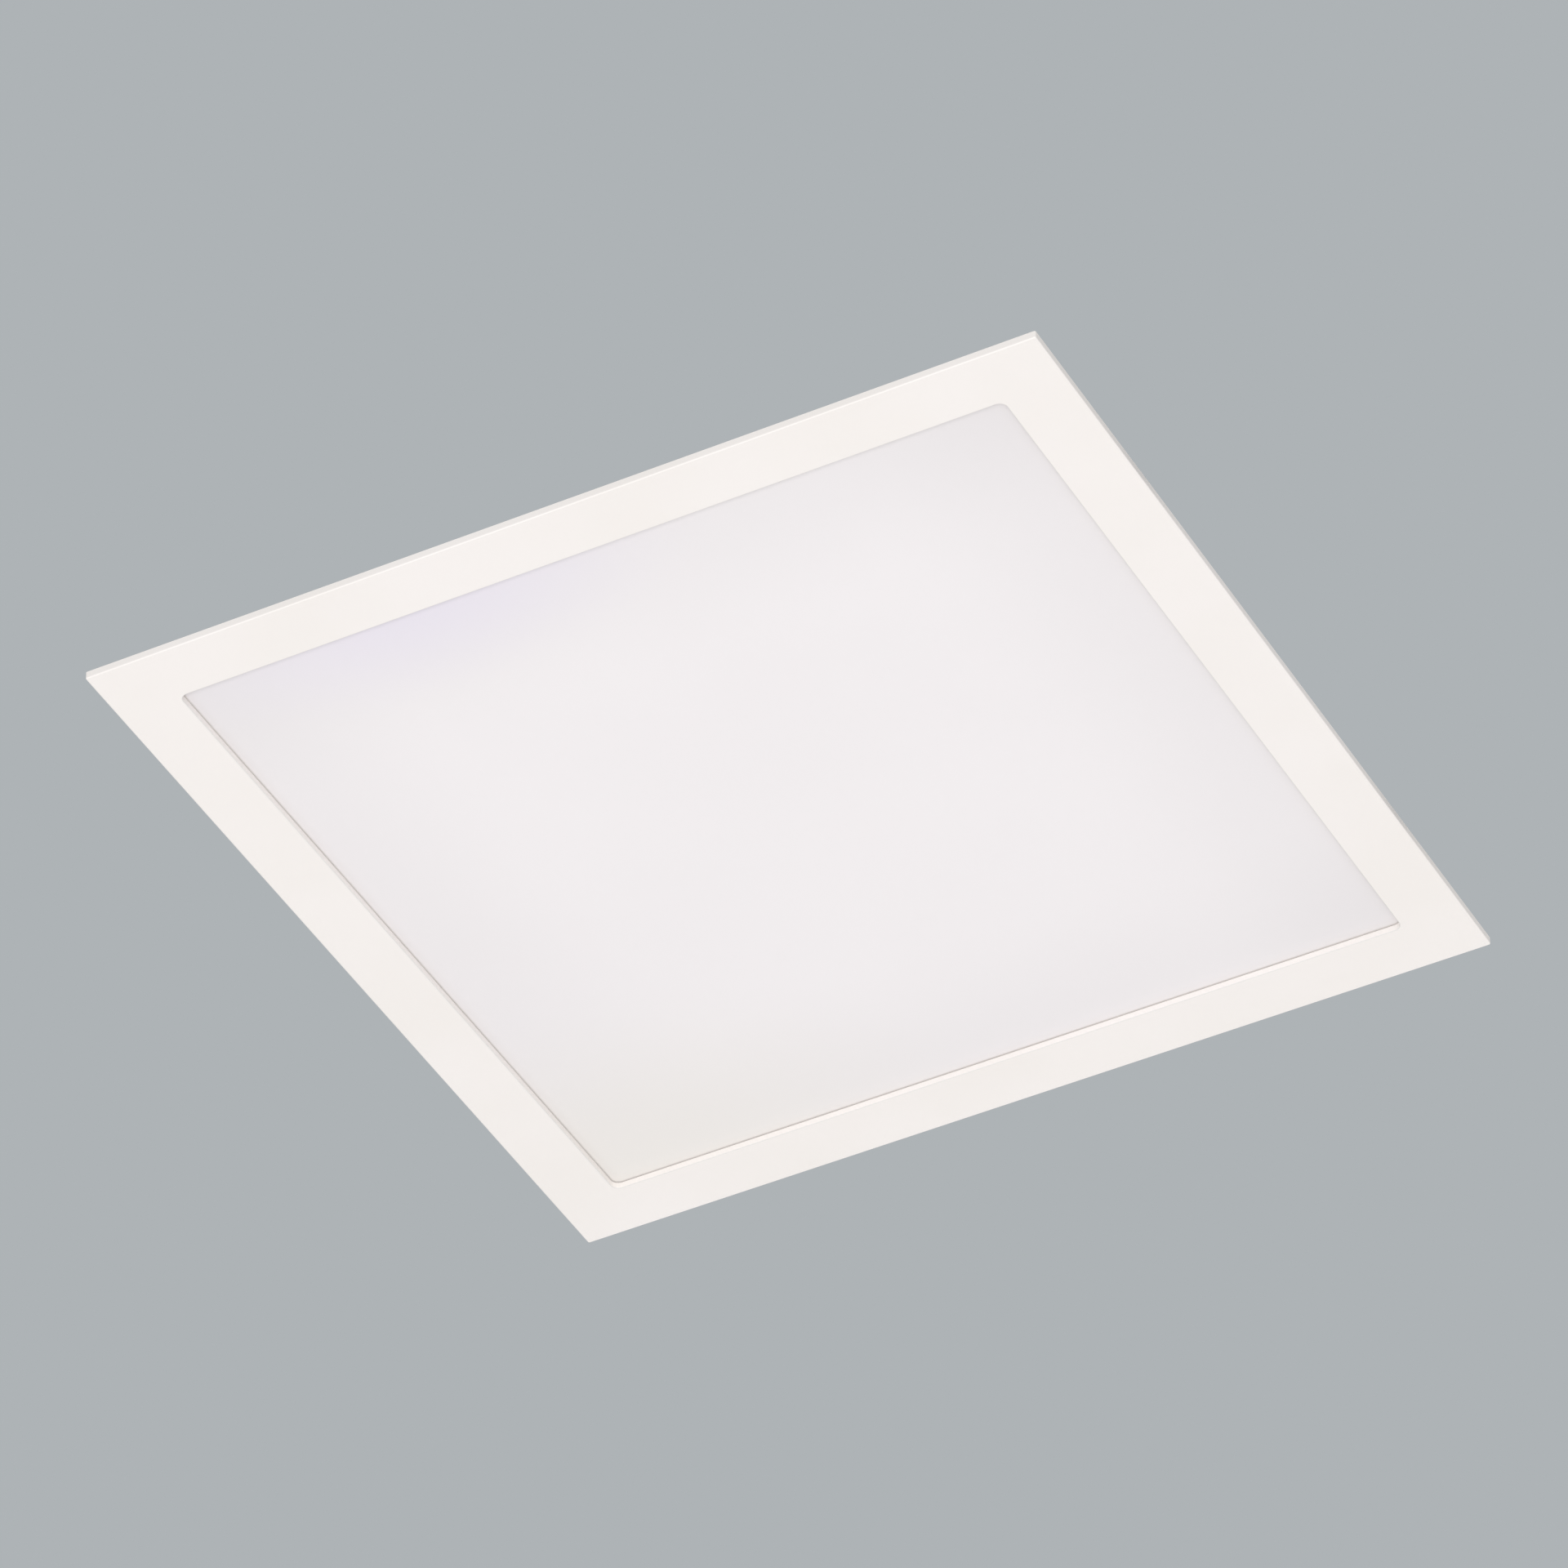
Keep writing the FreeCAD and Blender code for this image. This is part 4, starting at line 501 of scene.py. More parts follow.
def finishes() -> dict[str, Finish]:
    """Lists the finish of each of the record's material slots, and of what only new pieces show.

    Returns:
        The finish by slot name.
    """
    return {
        # Polyester powder on cast aluminium: even satin white with a faint orange peel
        "white_powder_coat": CoatedCasting(
            "satin_white_powder_coat", "F7F2EF", "F5F0EC", 0.5, grain_mm=1.4, relief_mm=0.003, cloud_mm=70
        ),
        # Opal polystyrene sheet: soft white that takes light in, so it is duller than the frame
        "opal_plastic": OpalSheet(
            "satin_opal_polystyrene", "F3EFF0", "F2EEEF", 0.55, grain_mm=0.5, relief_mm=0.001, cloud_mm=90,
            # Painted light: faint coloured tints of the lighting on the sheet
            painted_light_tints=(
                PaintedLightTint("EAE5EE", (-55, -130, 0), (95, 42, 10)),
                PaintedLightTint("EEEAE6", (-130, 130, 0), (140, 90, 10)),
            ),
        ),
        # Cast acrylic with polished faces
        "clear_acrylic": PrintedGuide("printed_clear_acrylic", "F4FAFC", "F4F4F2", 0.05, ior=1.49),
        # Voided polyester film: bright white with a low gloss
        "white_film": Finish(
            "white_reflecting_film", "F6F6F4", "F2F3F3", 0.3, grain_mm=0.8, relief_mm=0.001, cloud_mm=40
        ),
        # Cut closed-cell foam: dull, with small pits
        "white_foam": CellFoam("cut_white_foam", "E2E1DB", "DAD9D2", 0.9, grain_mm=0.9, relief_mm=0.15),
        # Coil-coated sheet steel: smoother than powder coat, with a faint rolling grain
        "white_sheet": Finish(
            "coil_coated_white_sheet", "E9E9E6", "E5E6E4", 0.34, grain=Grain.ALONG_X, grain_mm=0.9,
            relief_mm=0.002, cloud_mm=60
        ),
        # Bright zinc plate with a clear blue passivation, a little cloudy
        "zinc_screw": Finish(
            "blue_passivated_zinc", "C9CDD3", "C6C3B6", 0.26, 0.08, metallic=1.0, grain_mm=0.4,
            relief_mm=0.002, cloud_mm=2.5
        ),
        # White solder mask on an aluminium core board: smooth and a little glossy
        "led_board": Finish(
            "white_solder_mask", "EFF0EA", "E8EAE6", 0.3, grain_mm=0.4, relief_mm=0.002, cloud_mm=6
        ),
        # Silicone filled with phosphor: waxy yellow
        "led_phosphor": Finish(
            "phosphor_silicone", "EBC64A", "E2B63A", 0.35, grain_mm=0.2, relief_mm=0.003, cloud_mm=1.0
        ),
        # Moulded reflector body of an LED package
        "led_housing": Finish(
            "white_reflector_housing", "F1F1EE", "ECEDEB", 0.45, grain_mm=0.2, relief_mm=0.002, cloud_mm=1.0
        ),
        # Filled acrylic tape: soft matt grey white
        "thermal_tape": Finish(
            "thermal_tape", "D2D5DA", "CACDD4", 0.75, grain_mm=0.3, relief_mm=0.004, cloud_mm=5
        ),
        # Thin tinned copper strip, where the copper shows through
        "copper": Finish(
            "tinned_copper_strip", "C98A62", "D8B49A", 0.3, 0.08, metallic=1.0, grain=Grain.ALONG_X,
            grain_mm=0.2, relief_mm=0.002, cloud_mm=1.5
        ),
        # Extruded PVC insulation: smooth, with a soft shine
        "red_pvc": Finish(
            "red_pvc_insulation", "B3211B", "A51C18", 0.36, grain=Grain.ALONG_Y, grain_mm=0.3,
            relief_mm=0.003, cloud_mm=4
        ),
        "black_pvc": Finish(
            "black_pvc_insulation", "18181A", "202023", 0.36, grain=Grain.ALONG_Y, grain_mm=0.3,
            relief_mm=0.003, cloud_mm=4
        ),
        # Moulded rubber: matt black with a dusty bloom
        "black_rubber": Finish(
            "moulded_black_rubber", "1E1E20", "29292B", 0.72, 0.06, grain_mm=0.35, relief_mm=0.012, cloud_mm=3
        ),
        # Polycarbonate from a spark-eroded mould: matt white with an even fine grain
        "white_plastic": Finish(
            "spark_textured_polycarbonate", "EBEBE8", "E7E8E5", 0.5, grain_mm=0.55, relief_mm=0.02,
            cloud_mm=45
        ),
        # Glass epoxy laminate under green solder mask
        "circuit_laminate": TrackedLaminate(
            "green_solder_mask", "17592F", "2F7F4A", 0.3, grain_mm=0.5, relief_mm=0.006
        ),
        # Glass-filled polyamide: dull green
        "terminal_plastic": Finish(
            "green_polyamide", "2C7A45", "276E3E", 0.48, grain_mm=0.3, relief_mm=0.006, cloud_mm=5
        ),
        # Brown thermoset cap of a slow fuse
        "fuse_plastic": Finish(
            "brown_moulded_cap", "56301C", "4B2917", 0.42, grain_mm=0.3, relief_mm=0.004, cloud_mm=4
        ),
        # Dipped epoxy: glossy with small waves
        "varistor_epoxy": Finish(
            "blue_epoxy_dip", "1E4596", "1A3C84", 0.22, grain_mm=1.2, relief_mm=0.03, cloud_mm=4, coat=0.4
        ),
        # Potted box of filled polyester
        "film_box": Finish(
            "yellow_polyester_box", "DEA32B", "D59A24", 0.38, grain_mm=0.4, relief_mm=0.004, cloud_mm=6
        ),
        # Shrunk PVC sleeve: smooth and glossy, with a faint draw line
        "shrink_sleeve": Finish(
            "black_shrink_sleeve", "15151A", "1B1B20", 0.2, grain=Grain.ALONG_Z, grain_mm=0.5,
            relief_mm=0.004, cloud_mm=5
        ),
        # Transfer-moulded epoxy: matt black
        "moulded_epoxy": Finish(
            "black_moulding_compound", "19191A", "1F1F21", 0.6, grain_mm=0.25, relief_mm=0.006, cloud_mm=3
        ),
        # Sintered and ground ferrite: dark grey with a dull metallic shine
        "ferrite": Finish(
            "ground_ferrite", "35353A", "2C2C30", 0.42, 0.08, metallic=0.4, grain_mm=0.3, relief_mm=0.006,
            cloud_mm=2
        ),
        # Clear yellow polyester tape over copper wire
        "winding_tape": WoundTape(
            "yellow_polyester_tape", "E2B53A", "D9A731", 0.24, grain_mm=0.5, relief_mm=0.02, cloud_mm=5
        ),
        # Zinc-plated sheet steel with the marks of its stamping
        "zinc_bracket": Finish(
            "zinc_plated_sheet_steel", "BFC3C8", "B7B9B9", 0.34, 0.03, metallic=1.0, grain=Grain.ALONG_X,
            grain_mm=0.16, relief_mm=0.0004, cloud_mm=9
        ),
        # Turned bright steel
        "bright_steel": Finish(
            "turned_bright_steel", "D6D6D8", "CDCED1", 0.24, 0.04, metallic=1.0, grain_mm=0.2,
            relief_mm=0.0006, cloud_mm=3
        ),
        # Drawn spring wire: darker, with fine lines along it
        "spring_wire": Finish(
            "drawn_spring_wire", "ACAEB2", "A1A3A8", 0.3, 0.05, metallic=1.0, grain_mm=0.1,
            relief_mm=0.0008, cloud_mm=2
        ),
        # Dipped soft vinyl: dull black with a soft sheen
        "sleeve_vinyl": Finish(
            "dipped_black_vinyl", "1B1B1D", "222225", 0.5, 0.05, grain_mm=0.7, relief_mm=0.012, cloud_mm=6
        ),
    }


class Dresser:
    """Holds the built materials and puts them on the frame's nodes."""

    def __init__(self) -> None:
        """Builds one material for each slot of the record."""
        self.materials = {slot: finish.build() for slot, finish in finishes().items()}

    def dress_nodes(self) -> None:
        """Gives every node of the frame the material of its slot."""
        for row in frame["record"]["subparts"]:
            node = frame["nodes"][row["node"]]
            for slot in node.material_slots:
                slot.material = self.materials[row["material_slot"]]
            LOG.info("node %s: %s", node.name, row["material_slot"])


def add_piece(name: str, mesh: bpy.types.Mesh) -> Piece:
    """Puts a finished mesh into the scene as a piece.

    Args:
        name: the piece's name.
        mesh: its mesh, in the part's own frame.

    Returns:
        The piece, at the origin.
    """
    mesh.name = name
    piece = bpy.data.objects.new(name, mesh)
    bpy.context.scene.collection.objects.link(piece)
    return piece


def stand_in(piece: Piece, node: str) -> None:
    """Puts a piece in a node's place and reports it.

    Args:
        piece: the finished piece.
        node: the node that it replaces.
    """
    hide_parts(node)
    LOG.info("piece %s: %d faces", piece.name, len(piece.data.polygons))


def plain_mesh(name: str, points: Sequence, edges: Sequence = (), faces: Sequence = ()) -> bpy.types.Mesh:
    """Makes a mesh of points, and of edges or faces between them.

    Args:
        name: the mesh's name.
        points: its points.
        edges: the numbers of each edge's two points.
        faces: the numbers of each face's points.

    Returns:
        The mesh.
    """
    mesh = bpy.data.meshes.new(name)
    mesh.from_pydata(points, edges, faces)
    return mesh


def add_shape(name: str, shape: bmesh.types.BMesh, material: Material) -> Piece:
    """Turns a worked shape into a piece.

    Args:
        name: the piece's name.
        shape: its shape, which is used up.
        material: its finish.

    Returns:
        The piece.
    """
    mesh = bpy.data.meshes.new(name)
    shape.to_mesh(mesh)
    shape.free()
    mesh.materials.append(material)
    return add_piece(name, mesh)


def merged_shape(node: str) -> bmesh.types.BMesh:
    """Copies a node's mesh and joins its loose triangles.

    Args:
        node: the node's name.

    Returns:
        The copy.
    """
    shape = bmesh.new()
    shape.from_mesh(frame["nodes"][node].data)
    bmesh.ops.remove_doubles(shape, verts=shape.verts, dist=MERGE_DISTANCE)
    return shape


def put_in_order(parts: BMVertSeq | BMFaceSeq, place: Callable[[BMVert | BMFace], Vector]) -> None:
    """Puts the points or faces of a shape in the order of their places.

    Args:
        parts: all the points or all the faces.
        place: gives the place of one.
    """
    order = sorted(parts, key=lambda part: tuple(round(length, PLACE_DIGITS) for length in place(part)))
    ranks = {part: rank for rank, part in enumerate(order)}
    parts.sort(key=ranks.get)


def solid_boxes(node: str) -> list[tuple[Vector, Vector]]:
    """Finds the box of each separate solid of a node.

    Args:
        node: the node's name.

    Returns:
        The lowest and the highest corner of each box, in the order of their places.
    """
    shape = merged_shape(node)
    unseen = set(shape.verts)
    boxes = []
    while unseen:
        solid, reached = [], [unseen.pop()]
        while reached:
            corner = reached.pop()
            solid.append(corner.co.copy())
            others = {edge.other_vert(corner) for edge in corner.link_edges} & unseen
            unseen -= others
            reached.extend(others)
        boxes.append(tuple(Vector(limit(axis) for axis in zip(*solid)) for limit in (min, max)))
    shape.free()
    return sorted(boxes, key=lambda box: tuple(round(length, PLACE_DIGITS) for length in box[0]))


class GeometryTree(TreeBuilder):
    """A Geometry Nodes tree with named inputs, which is run once into a plain mesh."""

    def __init__(self, name: str, inputs: dict[str, str]) -> None:
        """Starts the tree.

        Args:
            name: the tree's name.
            inputs: the kind of each named input, besides the mesh to start from and the material.
        """
        super().__init__(bpy.data.node_groups.new(name, "GeometryNodeTree"))
        new_socket = self.tree.interface.new_socket
        kinds = {"Geometry": "Geometry"} | inputs | {"Material": "Material"}
        self.keys = {
            label: new_socket(label, in_out="INPUT", socket_type=f"NodeSocket{kind}").identifier
            for label, kind in kinds.items()
        }
        new_socket("Geometry", in_out="OUTPUT", socket_type="NodeSocketGeometry")
        self.given = self.add("NodeGroupInput").outputs

    @cached_property
    def spot(self) -> Node:
        """Each point's own position."""
        return self.add("GeometryNodeInputPosition")

    def scatter(self, parts: list[Source], feeds: dict[str, object]) -> Node:
        """Joins parts and puts them on each point of the mesh to start from.

        Args:
            parts: the parts.
            feeds: what else feeds the instances, such as their turn.

        Returns:
            The instances.
        """
        whole = self.add("GeometryNodeJoinGeometry", {0: parts})
        seats = {"Points": self.given["Geometry"], "Instance": whole}
        return self.add("GeometryNodeInstanceOnPoints", seats | feeds)

    def finish(self, geometry: Source) -> None:
        """Ends the tree with real geometry of one material.

        Args:
            geometry: what the tree made.
        """
        real = self.add("GeometryNodeRealizeInstances", {"Geometry": geometry})
        paint = {"Geometry": real, "Material": self.given["Material"]}
        self.add("NodeGroupOutput", {0: self.add("GeometryNodeSetMaterial", paint)})

    def run(self, name: str, start: bpy.types.Mesh, values: dict[str, object]) -> Piece:
        """Runs the tree on a mesh.

        Args:
            name: the new piece's name.
            start: the mesh that the tree works on.
            values: the value of each named input.

        Returns:
            The piece, with a plain mesh and no modifier.
        """
        source = bpy.data.objects.new(name + "_source", start)
        bpy.context.scene.collection.objects.link(source)
        modifier = source.modifiers.new("nodes", "NODES")
        modifier.node_group = self.tree
        for label, value in values.items():
            modifier[self.keys[label]] = value
        graph = bpy.context.evaluated_depsgraph_get()
        mesh = bpy.data.meshes.new_from_object(source.evaluated_get(graph))
        bpy.data.objects.remove(source)
        return add_piece(name, mesh)


class FastenerTree(GeometryTree):
    """A tree that puts an upright fastener on each point of a mesh, with its head seated on the point."""

    dome_sides = 32
    shank_sides = 20
    sharp_angle = math.radians(38)
    # The least distance from a dome's axis, as a share of its radius, which keeps the power finite
    least_across = 0.001

    def __init__(self, name: str, inputs: dict[str, str]) -> None:
        """Starts the tree with the sizes of every fastener and its own inputs."""
        lengths = ("Head Radius", "Head Height", "Shank Radius", "Shank Length")
        super().__init__(name, dict.fromkeys(lengths, "Float") | inputs)

    def dome(self, radius: Source, height: Source, fullness: float) -> Node:
        """Adds a round head: flat below, and domed above as half a superellipsoid.

        Args:
            radius: the head's radius.
            height: its height.
            fullness: one for an ellipsoid's dome, less for a squarer one.

        Returns:
            The head, with its flat side on the origin's level.
        """
        ball = self.add("GeometryNodeMeshUVSphere", (self.dome_sides, self.dome_sides // 2, 1.0))
        x, y, z = self.add("ShaderNodeSeparateXYZ", (self.spot,)).outputs
        squares = [self.add("ShaderNodeMath", (axis, axis), operation="MULTIPLY") for axis in (x, y)]
        across = self.add("ShaderNodeMath", squares, operation="ADD")
        across = self.add("ShaderNodeMath", (across,), operation="SQRT")
        powers = ((across, self.least_across, fullness - 1, radius), (z, 0.0, fullness, height))
        sizes = []
        for value, least, exponent, length in powers:
            kept = self.add("ShaderNodeMath", (value, least), operation="MAXIMUM")
            power = self.add("ShaderNodeMath", (kept, exponent), operation="POWER")
            sizes.append(self.add("ShaderNodeMath", (length, power), operation="MULTIPLY"))
        stretch, raised = sizes
        flat = [self.add("ShaderNodeMath", (axis, stretch), operation="MULTIPLY") for axis in (x, y)]
        moved = self.add("ShaderNodeCombineXYZ", (*flat, raised))
        return self.add("GeometryNodeSetPosition", {"Geometry": ball, "Position": moved})

    def shank(self) -> Node:
        """Adds the round shank, which points down from the origin.

        Returns:
            The shank.
        """
        length = self.given["Shank Length"]
        sizes = {"Vertices": self.shank_sides, "Radius": self.given["Shank Radius"], "Depth": length}
        rod = self.add("GeometryNodeMeshCylinder", sizes)
        half = self.add("ShaderNodeMath", (length, -0.5), operation="MULTIPLY")
        down = self.add("ShaderNodeCombineXYZ", {"Z": half})
        return self.add("GeometryNodeTransform", {"Geometry": rod, "Translation": down})

    def smooth(self, geometry: Source) -> Node:
        """Shades a shape smooth between its sharp edges.

        Args:
            geometry: the shape.

        Returns:
            The shaded shape.
        """
        smooth = self.add("GeometryNodeSetShadeSmooth", {"Geometry": geometry})
        bend = self.add("GeometryNodeInputMeshEdgeAngle").outputs["Unsigned Angle"]
        sharp = self.add(
            "FunctionNodeCompare", (bend, self.sharp_angle), data_type="FLOAT", operation="GREATER_THAN"
        )
        edges = {"Geometry": smooth, "Selection": sharp, "Shade Smooth": False}
        return self.add("GeometryNodeSetShadeSmooth", edges, domain="EDGE")


class ScrewTree(FastenerTree):
    """Pan head screws with a cross recess, each of which has come to rest at its own angle.

    Two crossed blades cut the recess. They are centred on the head's top, where their length and width
    are shares of its radius, and their height is a share of its height. The flare is the share by which
    they widen over the height of a head.
    """

    fullness = 0.52
    blade_length = 1.16
    blade_width = 0.25
    blade_height = 1.24
    blade_flare = 0.62

    def __init__(self) -> None:
        """Builds the tree."""
        super().__init__("pan_head_screws", {"Seed": "Int"})
        head = self.dome(self.given["Head Radius"], self.given["Head Height"], self.fullness)
        meshes = {"Mesh 1": head, "Mesh 2": self.recess()}
        cut = self.add("GeometryNodeMeshBoolean", meshes, operation="DIFFERENCE")
        turns = {0: (0.0, 0.0, 0.0), 1: (0.0, 0.0, math.tau), "Seed": self.given["Seed"]}
        turn = self.add("FunctionNodeRandomValue", turns, data_type="FLOAT_VECTOR")
        self.finish(self.scatter([self.smooth(cut), self.shank()], {"Rotation": turn}))

    def recess(self) -> list[Node]:
        """Makes the two crossed blades that cut the recess.

        Returns:
            The blades.
        """
        radius, height = self.given["Head Radius"], self.given["Head Height"]
        head = self.add("ShaderNodeCombineXYZ", (radius, radius, height))
        level = self.add("ShaderNodeSeparateXYZ", (self.spot,)).outputs["Z"]
        level = self.add("ShaderNodeMath", (level, height), operation="DIVIDE")
        flare = self.add("ShaderNodeMath", (level, self.blade_flare, 1.0), operation="MULTIPLY_ADD")
        flare = self.add("ShaderNodeCombineXYZ", (flare, flare, 1.0))
        shaped = self.add("ShaderNodeVectorMath", (self.spot, flare), operation="MULTIPLY")
        lift = self.add("ShaderNodeCombineXYZ", {"Z": height})
        blades = []
        for sides in ((self.blade_length, self.blade_width), (self.blade_width, self.blade_length)):
            size = self.add("ShaderNodeVectorMath", (head, (*sides, self.blade_height)), operation="MULTIPLY")
            block = self.add("GeometryNodeMeshCube", {"Size": size})
            feeds = {"Geometry": block, "Position": shaped, "Offset": lift}
            blades.append(self.add("GeometryNodeSetPosition", feeds))
        return blades


class RivetTree(FastenerTree):
    """Rivets with a domed head and a squarer upset tail."""

    head_fullness = 0.85
    tail_fullness = 0.6

    def __init__(self) -> None:
        """Builds the tree."""
        super().__init__("domed_rivets", {"Tail Radius": "Float", "Tail Height": "Float"})
        head = self.dome(self.given["Head Radius"], self.given["Head Height"], self.head_fullness)
        tail = self.dome(self.given["Tail Radius"], self.given["Tail Height"], self.tail_fullness)
        below = self.add("ShaderNodeMath", (self.given["Shank Length"], -1.0), operation="MULTIPLY")
        drop = self.add("ShaderNodeCombineXYZ", {"Z": below})
        place = {"Geometry": tail, "Translation": drop, "Rotation": (math.pi, 0.0, 0.0)}
        upset = self.add("GeometryNodeTransform", place)
        self.finish(self.scatter([self.smooth(head), self.smooth(upset), self.shank()], {}))


@dataclass(frozen=True)
class FastenerSet:
    """The upright fasteners of one node. Their places and outer sizes come from the node's solids."""

    node: str
    piece: str
    head_height_mm: float
    shank_radius_mm: float
    tail_height_mm: float = 0.0
    slot: ClassVar[str] = "zinc_screw"

    def own_inputs(self) -> dict[str, float]:
        """Gives the inputs that only this kind of fastener has."""
        return {}

    def build(self, made: FastenerTree, dresser: Dresser) -> None:
        """Builds the fasteners as one piece.

        Args:
            made: the tree that puts a fastener on each point.
            dresser: holds their finish.
        """
        boxes = solid_boxes(self.node)
        low, high = boxes[0]
        head = self.head_height_mm * MM
        seats = [Vector(((a.x + b.x) / 2, (a.y + b.y) / 2, b.z - head)) for a, b in boxes]
        sizes = {
            "Head Radius": (high.x - low.x) / 2,
            "Head Height": head,
            "Shank Radius": self.shank_radius_mm * MM,
            "Shank Length": high.z - low.z - head - self.tail_height_mm * MM,
            "Material": dresser.materials[self.slot],
        }
        piece = made.run(self.piece, plain_mesh("seats", seats), sizes | self.own_inputs())
        stand_in(piece, self.node)
        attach(piece, "panel")


@dataclass(frozen=True)
class ScrewSet(FastenerSet):
    """The pan head screws of one node, each turned as the seed has it."""

    seed: int = 0

    def own_inputs(self) -> dict[str, float]:
        """Gives the seed of their turns."""
        return {"Seed": self.seed}


@dataclass(frozen=True)
class RivetSet(FastenerSet):
    """The rivets of the clips: a head above the bracket and an upset tail inside the cover."""

    tail_radius_mm: float = 2.6
    slot: ClassVar[str] = "bright_steel"

    def own_inputs(self) -> dict[str, float]:
        """Gives the sizes of their tails."""
        return {"Tail Radius": self.tail_radius_mm * MM, "Tail Height": self.tail_height_mm * MM}


SCREW_SETS = (
    ScrewSet("back_cover_screws", "pan_screws_cover", 1.3, 1.2, seed=3),
    ScrewSet("driver_cover_screws", "pan_screws_housing", 1.5, 1.3, seed=5),
    ScrewSet("driver_mount_screws", "pan_screws_feet", 1.7, 1.5, seed=7),
    ScrewSet("board_screws", "pan_screws_circuit", 1.2, 1.0, seed=11),
)
CLIP_RIVETS = RivetSet("clip_rivets", "domed_rivets", 1.2, 1.6, tail_height_mm=1.2)


@dataclass(frozen=True)
class LedRows:
    """The LED packages: a white reflector housing round a phosphor filling that faces the guide."""

    node: str = "led_packages"
    rim_mm: float = 0.3
    well_mm: float = 0.35
    fill_drop_mm: float = 0.06
    quarter: ClassVar[float] = math.pi / 2

    def tree(self) -> GeometryTree:
        """Builds the tree that puts a package on each point, turned to face the panel's middle.

        Returns:
            The tree.
        """
        made = GeometryTree("led_packages", {"Size": "Vector", "Housing": "Material"})
        size = made.given["Size"]
        housing = made.add("GeometryNodeMeshCube", {"Size": size})
        rims = -2 * self.rim_mm * MM
        mouth = made.add("ShaderNodeVectorMath", (size, (0.0, rims, rims)), operation="ADD")
        flat = made.add("ShaderNodeVectorMath", (mouth, (0.0, 1.0, 1.0)), operation="MULTIPLY")
        face = made.add("ShaderNodeVectorMath", (size, (-0.5, 0.0, 0.0)), operation="MULTIPLY")
        cutter_and_fill = ((2 * self.well_mm, 0.0), (self.well_mm, self.well_mm / 2 + self.fill_drop_mm))
        blocks = []
        for thickness, back in cutter_and_fill:
            wide = made.add("ShaderNodeVectorMath", (flat, (thickness * MM, 0.0, 0.0)), operation="ADD")
            place = made.add("ShaderNodeVectorMath", (face, (back * MM, 0.0, 0.0)), operation="ADD")
            block = made.add("GeometryNodeMeshCube", {"Size": wide})
            blocks.append(made.add("GeometryNodeTransform", {"Geometry": block, "Translation": place}))
        meshes = {"Mesh 1": housing, "Mesh 2": blocks[0]}
        cut = made.add("GeometryNodeMeshBoolean", meshes, operation="DIFFERENCE")
        parts = [
            made.add("GeometryNodeSetMaterial", {"Geometry": shape, "Material": made.given[name]})
            for shape, name in ((cut, "Housing"), (blocks[1], "Material"))
        ]
        turn = made.add("GeometryNodeInputNamedAttribute", {"Name": "turn"}, data_type="FLOAT")
        facing = made.add("ShaderNodeCombineXYZ", {"Z": turn})
        rows = made.scatter(parts, {"Rotation": facing})
        real = made.add("GeometryNodeRealizeInstances", {"Geometry": rows})
        made.add("NodeGroupOutput", {0: real})
        return made

    def build(self, dresser: Dresser) -> None:
        """Builds the packages as one piece.

        Args:
            dresser: holds the finishes of their housings and fillings.
        """
        boxes = solid_boxes(self.node)
        middles = [(low + high) / 2 for low, high in boxes]
        points = plain_mesh("led_places", middles)
        turns = points.attributes.new("turn", "FLOAT", "POINT")
        for row, middle in zip(turns.data, middles):
            row.value = round(math.atan2(middle.y, middle.x) / self.quarter) * self.quarter
        low, high = next(box for box in boxes if box[1].x - box[0].x < box[1].y - box[0].y)
        housing, phosphor = (dresser.materials[slot] for slot in ("led_housing", "led_phosphor"))
        values = {"Size": tuple(high - low), "Housing": housing, "Material": phosphor}
        piece = self.tree().run("led_rows", points, values)
        stand_in(piece, self.node)
        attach(piece, "panel")


@dataclass(frozen=True)
class FoamPad:
    """The foam pad behind the film: cut from sheet, so its cut edges are slightly rounded.

    Faces that meet at less than the flat angle are joined, and level edges where they meet at more than
    the cut angle are rounded.
    """

    node: str = "foam_pad"
    edge_round_mm: float = 0.35
    level_mm: float = 0.01
    flat_deg: float = 0.5
    cut_deg: float = 60.0
    fill: float = 0.9

    def build(self, dresser: Dresser) -> None:
        """Builds the pad from a merged copy of its node.

        Args:
            dresser: holds its finish.
        """
        shape = merged_shape(self.node)
        whole = {"verts": shape.verts, "edges": shape.edges, "use_dissolve_boundaries": False}
        bmesh.ops.dissolve_limit(shape, angle_limit=math.radians(self.flat_deg), **whole)
        cut = math.radians(self.cut_deg)
        rims = [edge for edge in shape.edges if edge.is_manifold and edge.calc_face_angle() > cut]
        level = [e for e in rims if abs(e.verts[0].co.z - e.verts[1].co.z) < self.level_mm * MM]
        rounding = {"offset": self.edge_round_mm * MM, "segments": 2, "profile": 0.5, "affect": "EDGES"}
        bmesh.ops.bevel(shape, geom=level, **rounding)
        bmesh.ops.triangulate(shape, faces=shape.faces)
        # The rounding lists its points and faces in another order on each run
        put_in_order(shape.verts, lambda vert: vert.co)
        put_in_order(shape.faces, BMFace.calc_center_median)
        pad = add_shape("cut_foam_pad", shape, dresser.materials["white_foam"])
        stand_in(pad, self.node)
        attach(pad, "panel")


class WireTree(GeometryTree):
    """Round wire, swept along a path of edges."""

    def __init__(self) -> None:
        """Builds the tree."""
        super().__init__("round_wire", {"Wire Radius": "Float", "Sides": "Int"})
        path = self.add("GeometryNodeMeshToCurve", {"Mesh": self.given["Geometry"]})
        circle = {"Resolution": self.given["Sides"], "Radius": self.given["Wire Radius"]}
        ring = self.add("GeometryNodeCurvePrimitiveCircle", circle)
        sweep = {"Curve": path, "Profile Curve": ring, "Fill Caps": True}
        tube = self.add("GeometryNodeCurveToMesh", sweep)
        self.finish(self.add("GeometryNodeSetShadeSmooth", {"Geometry": tube}))


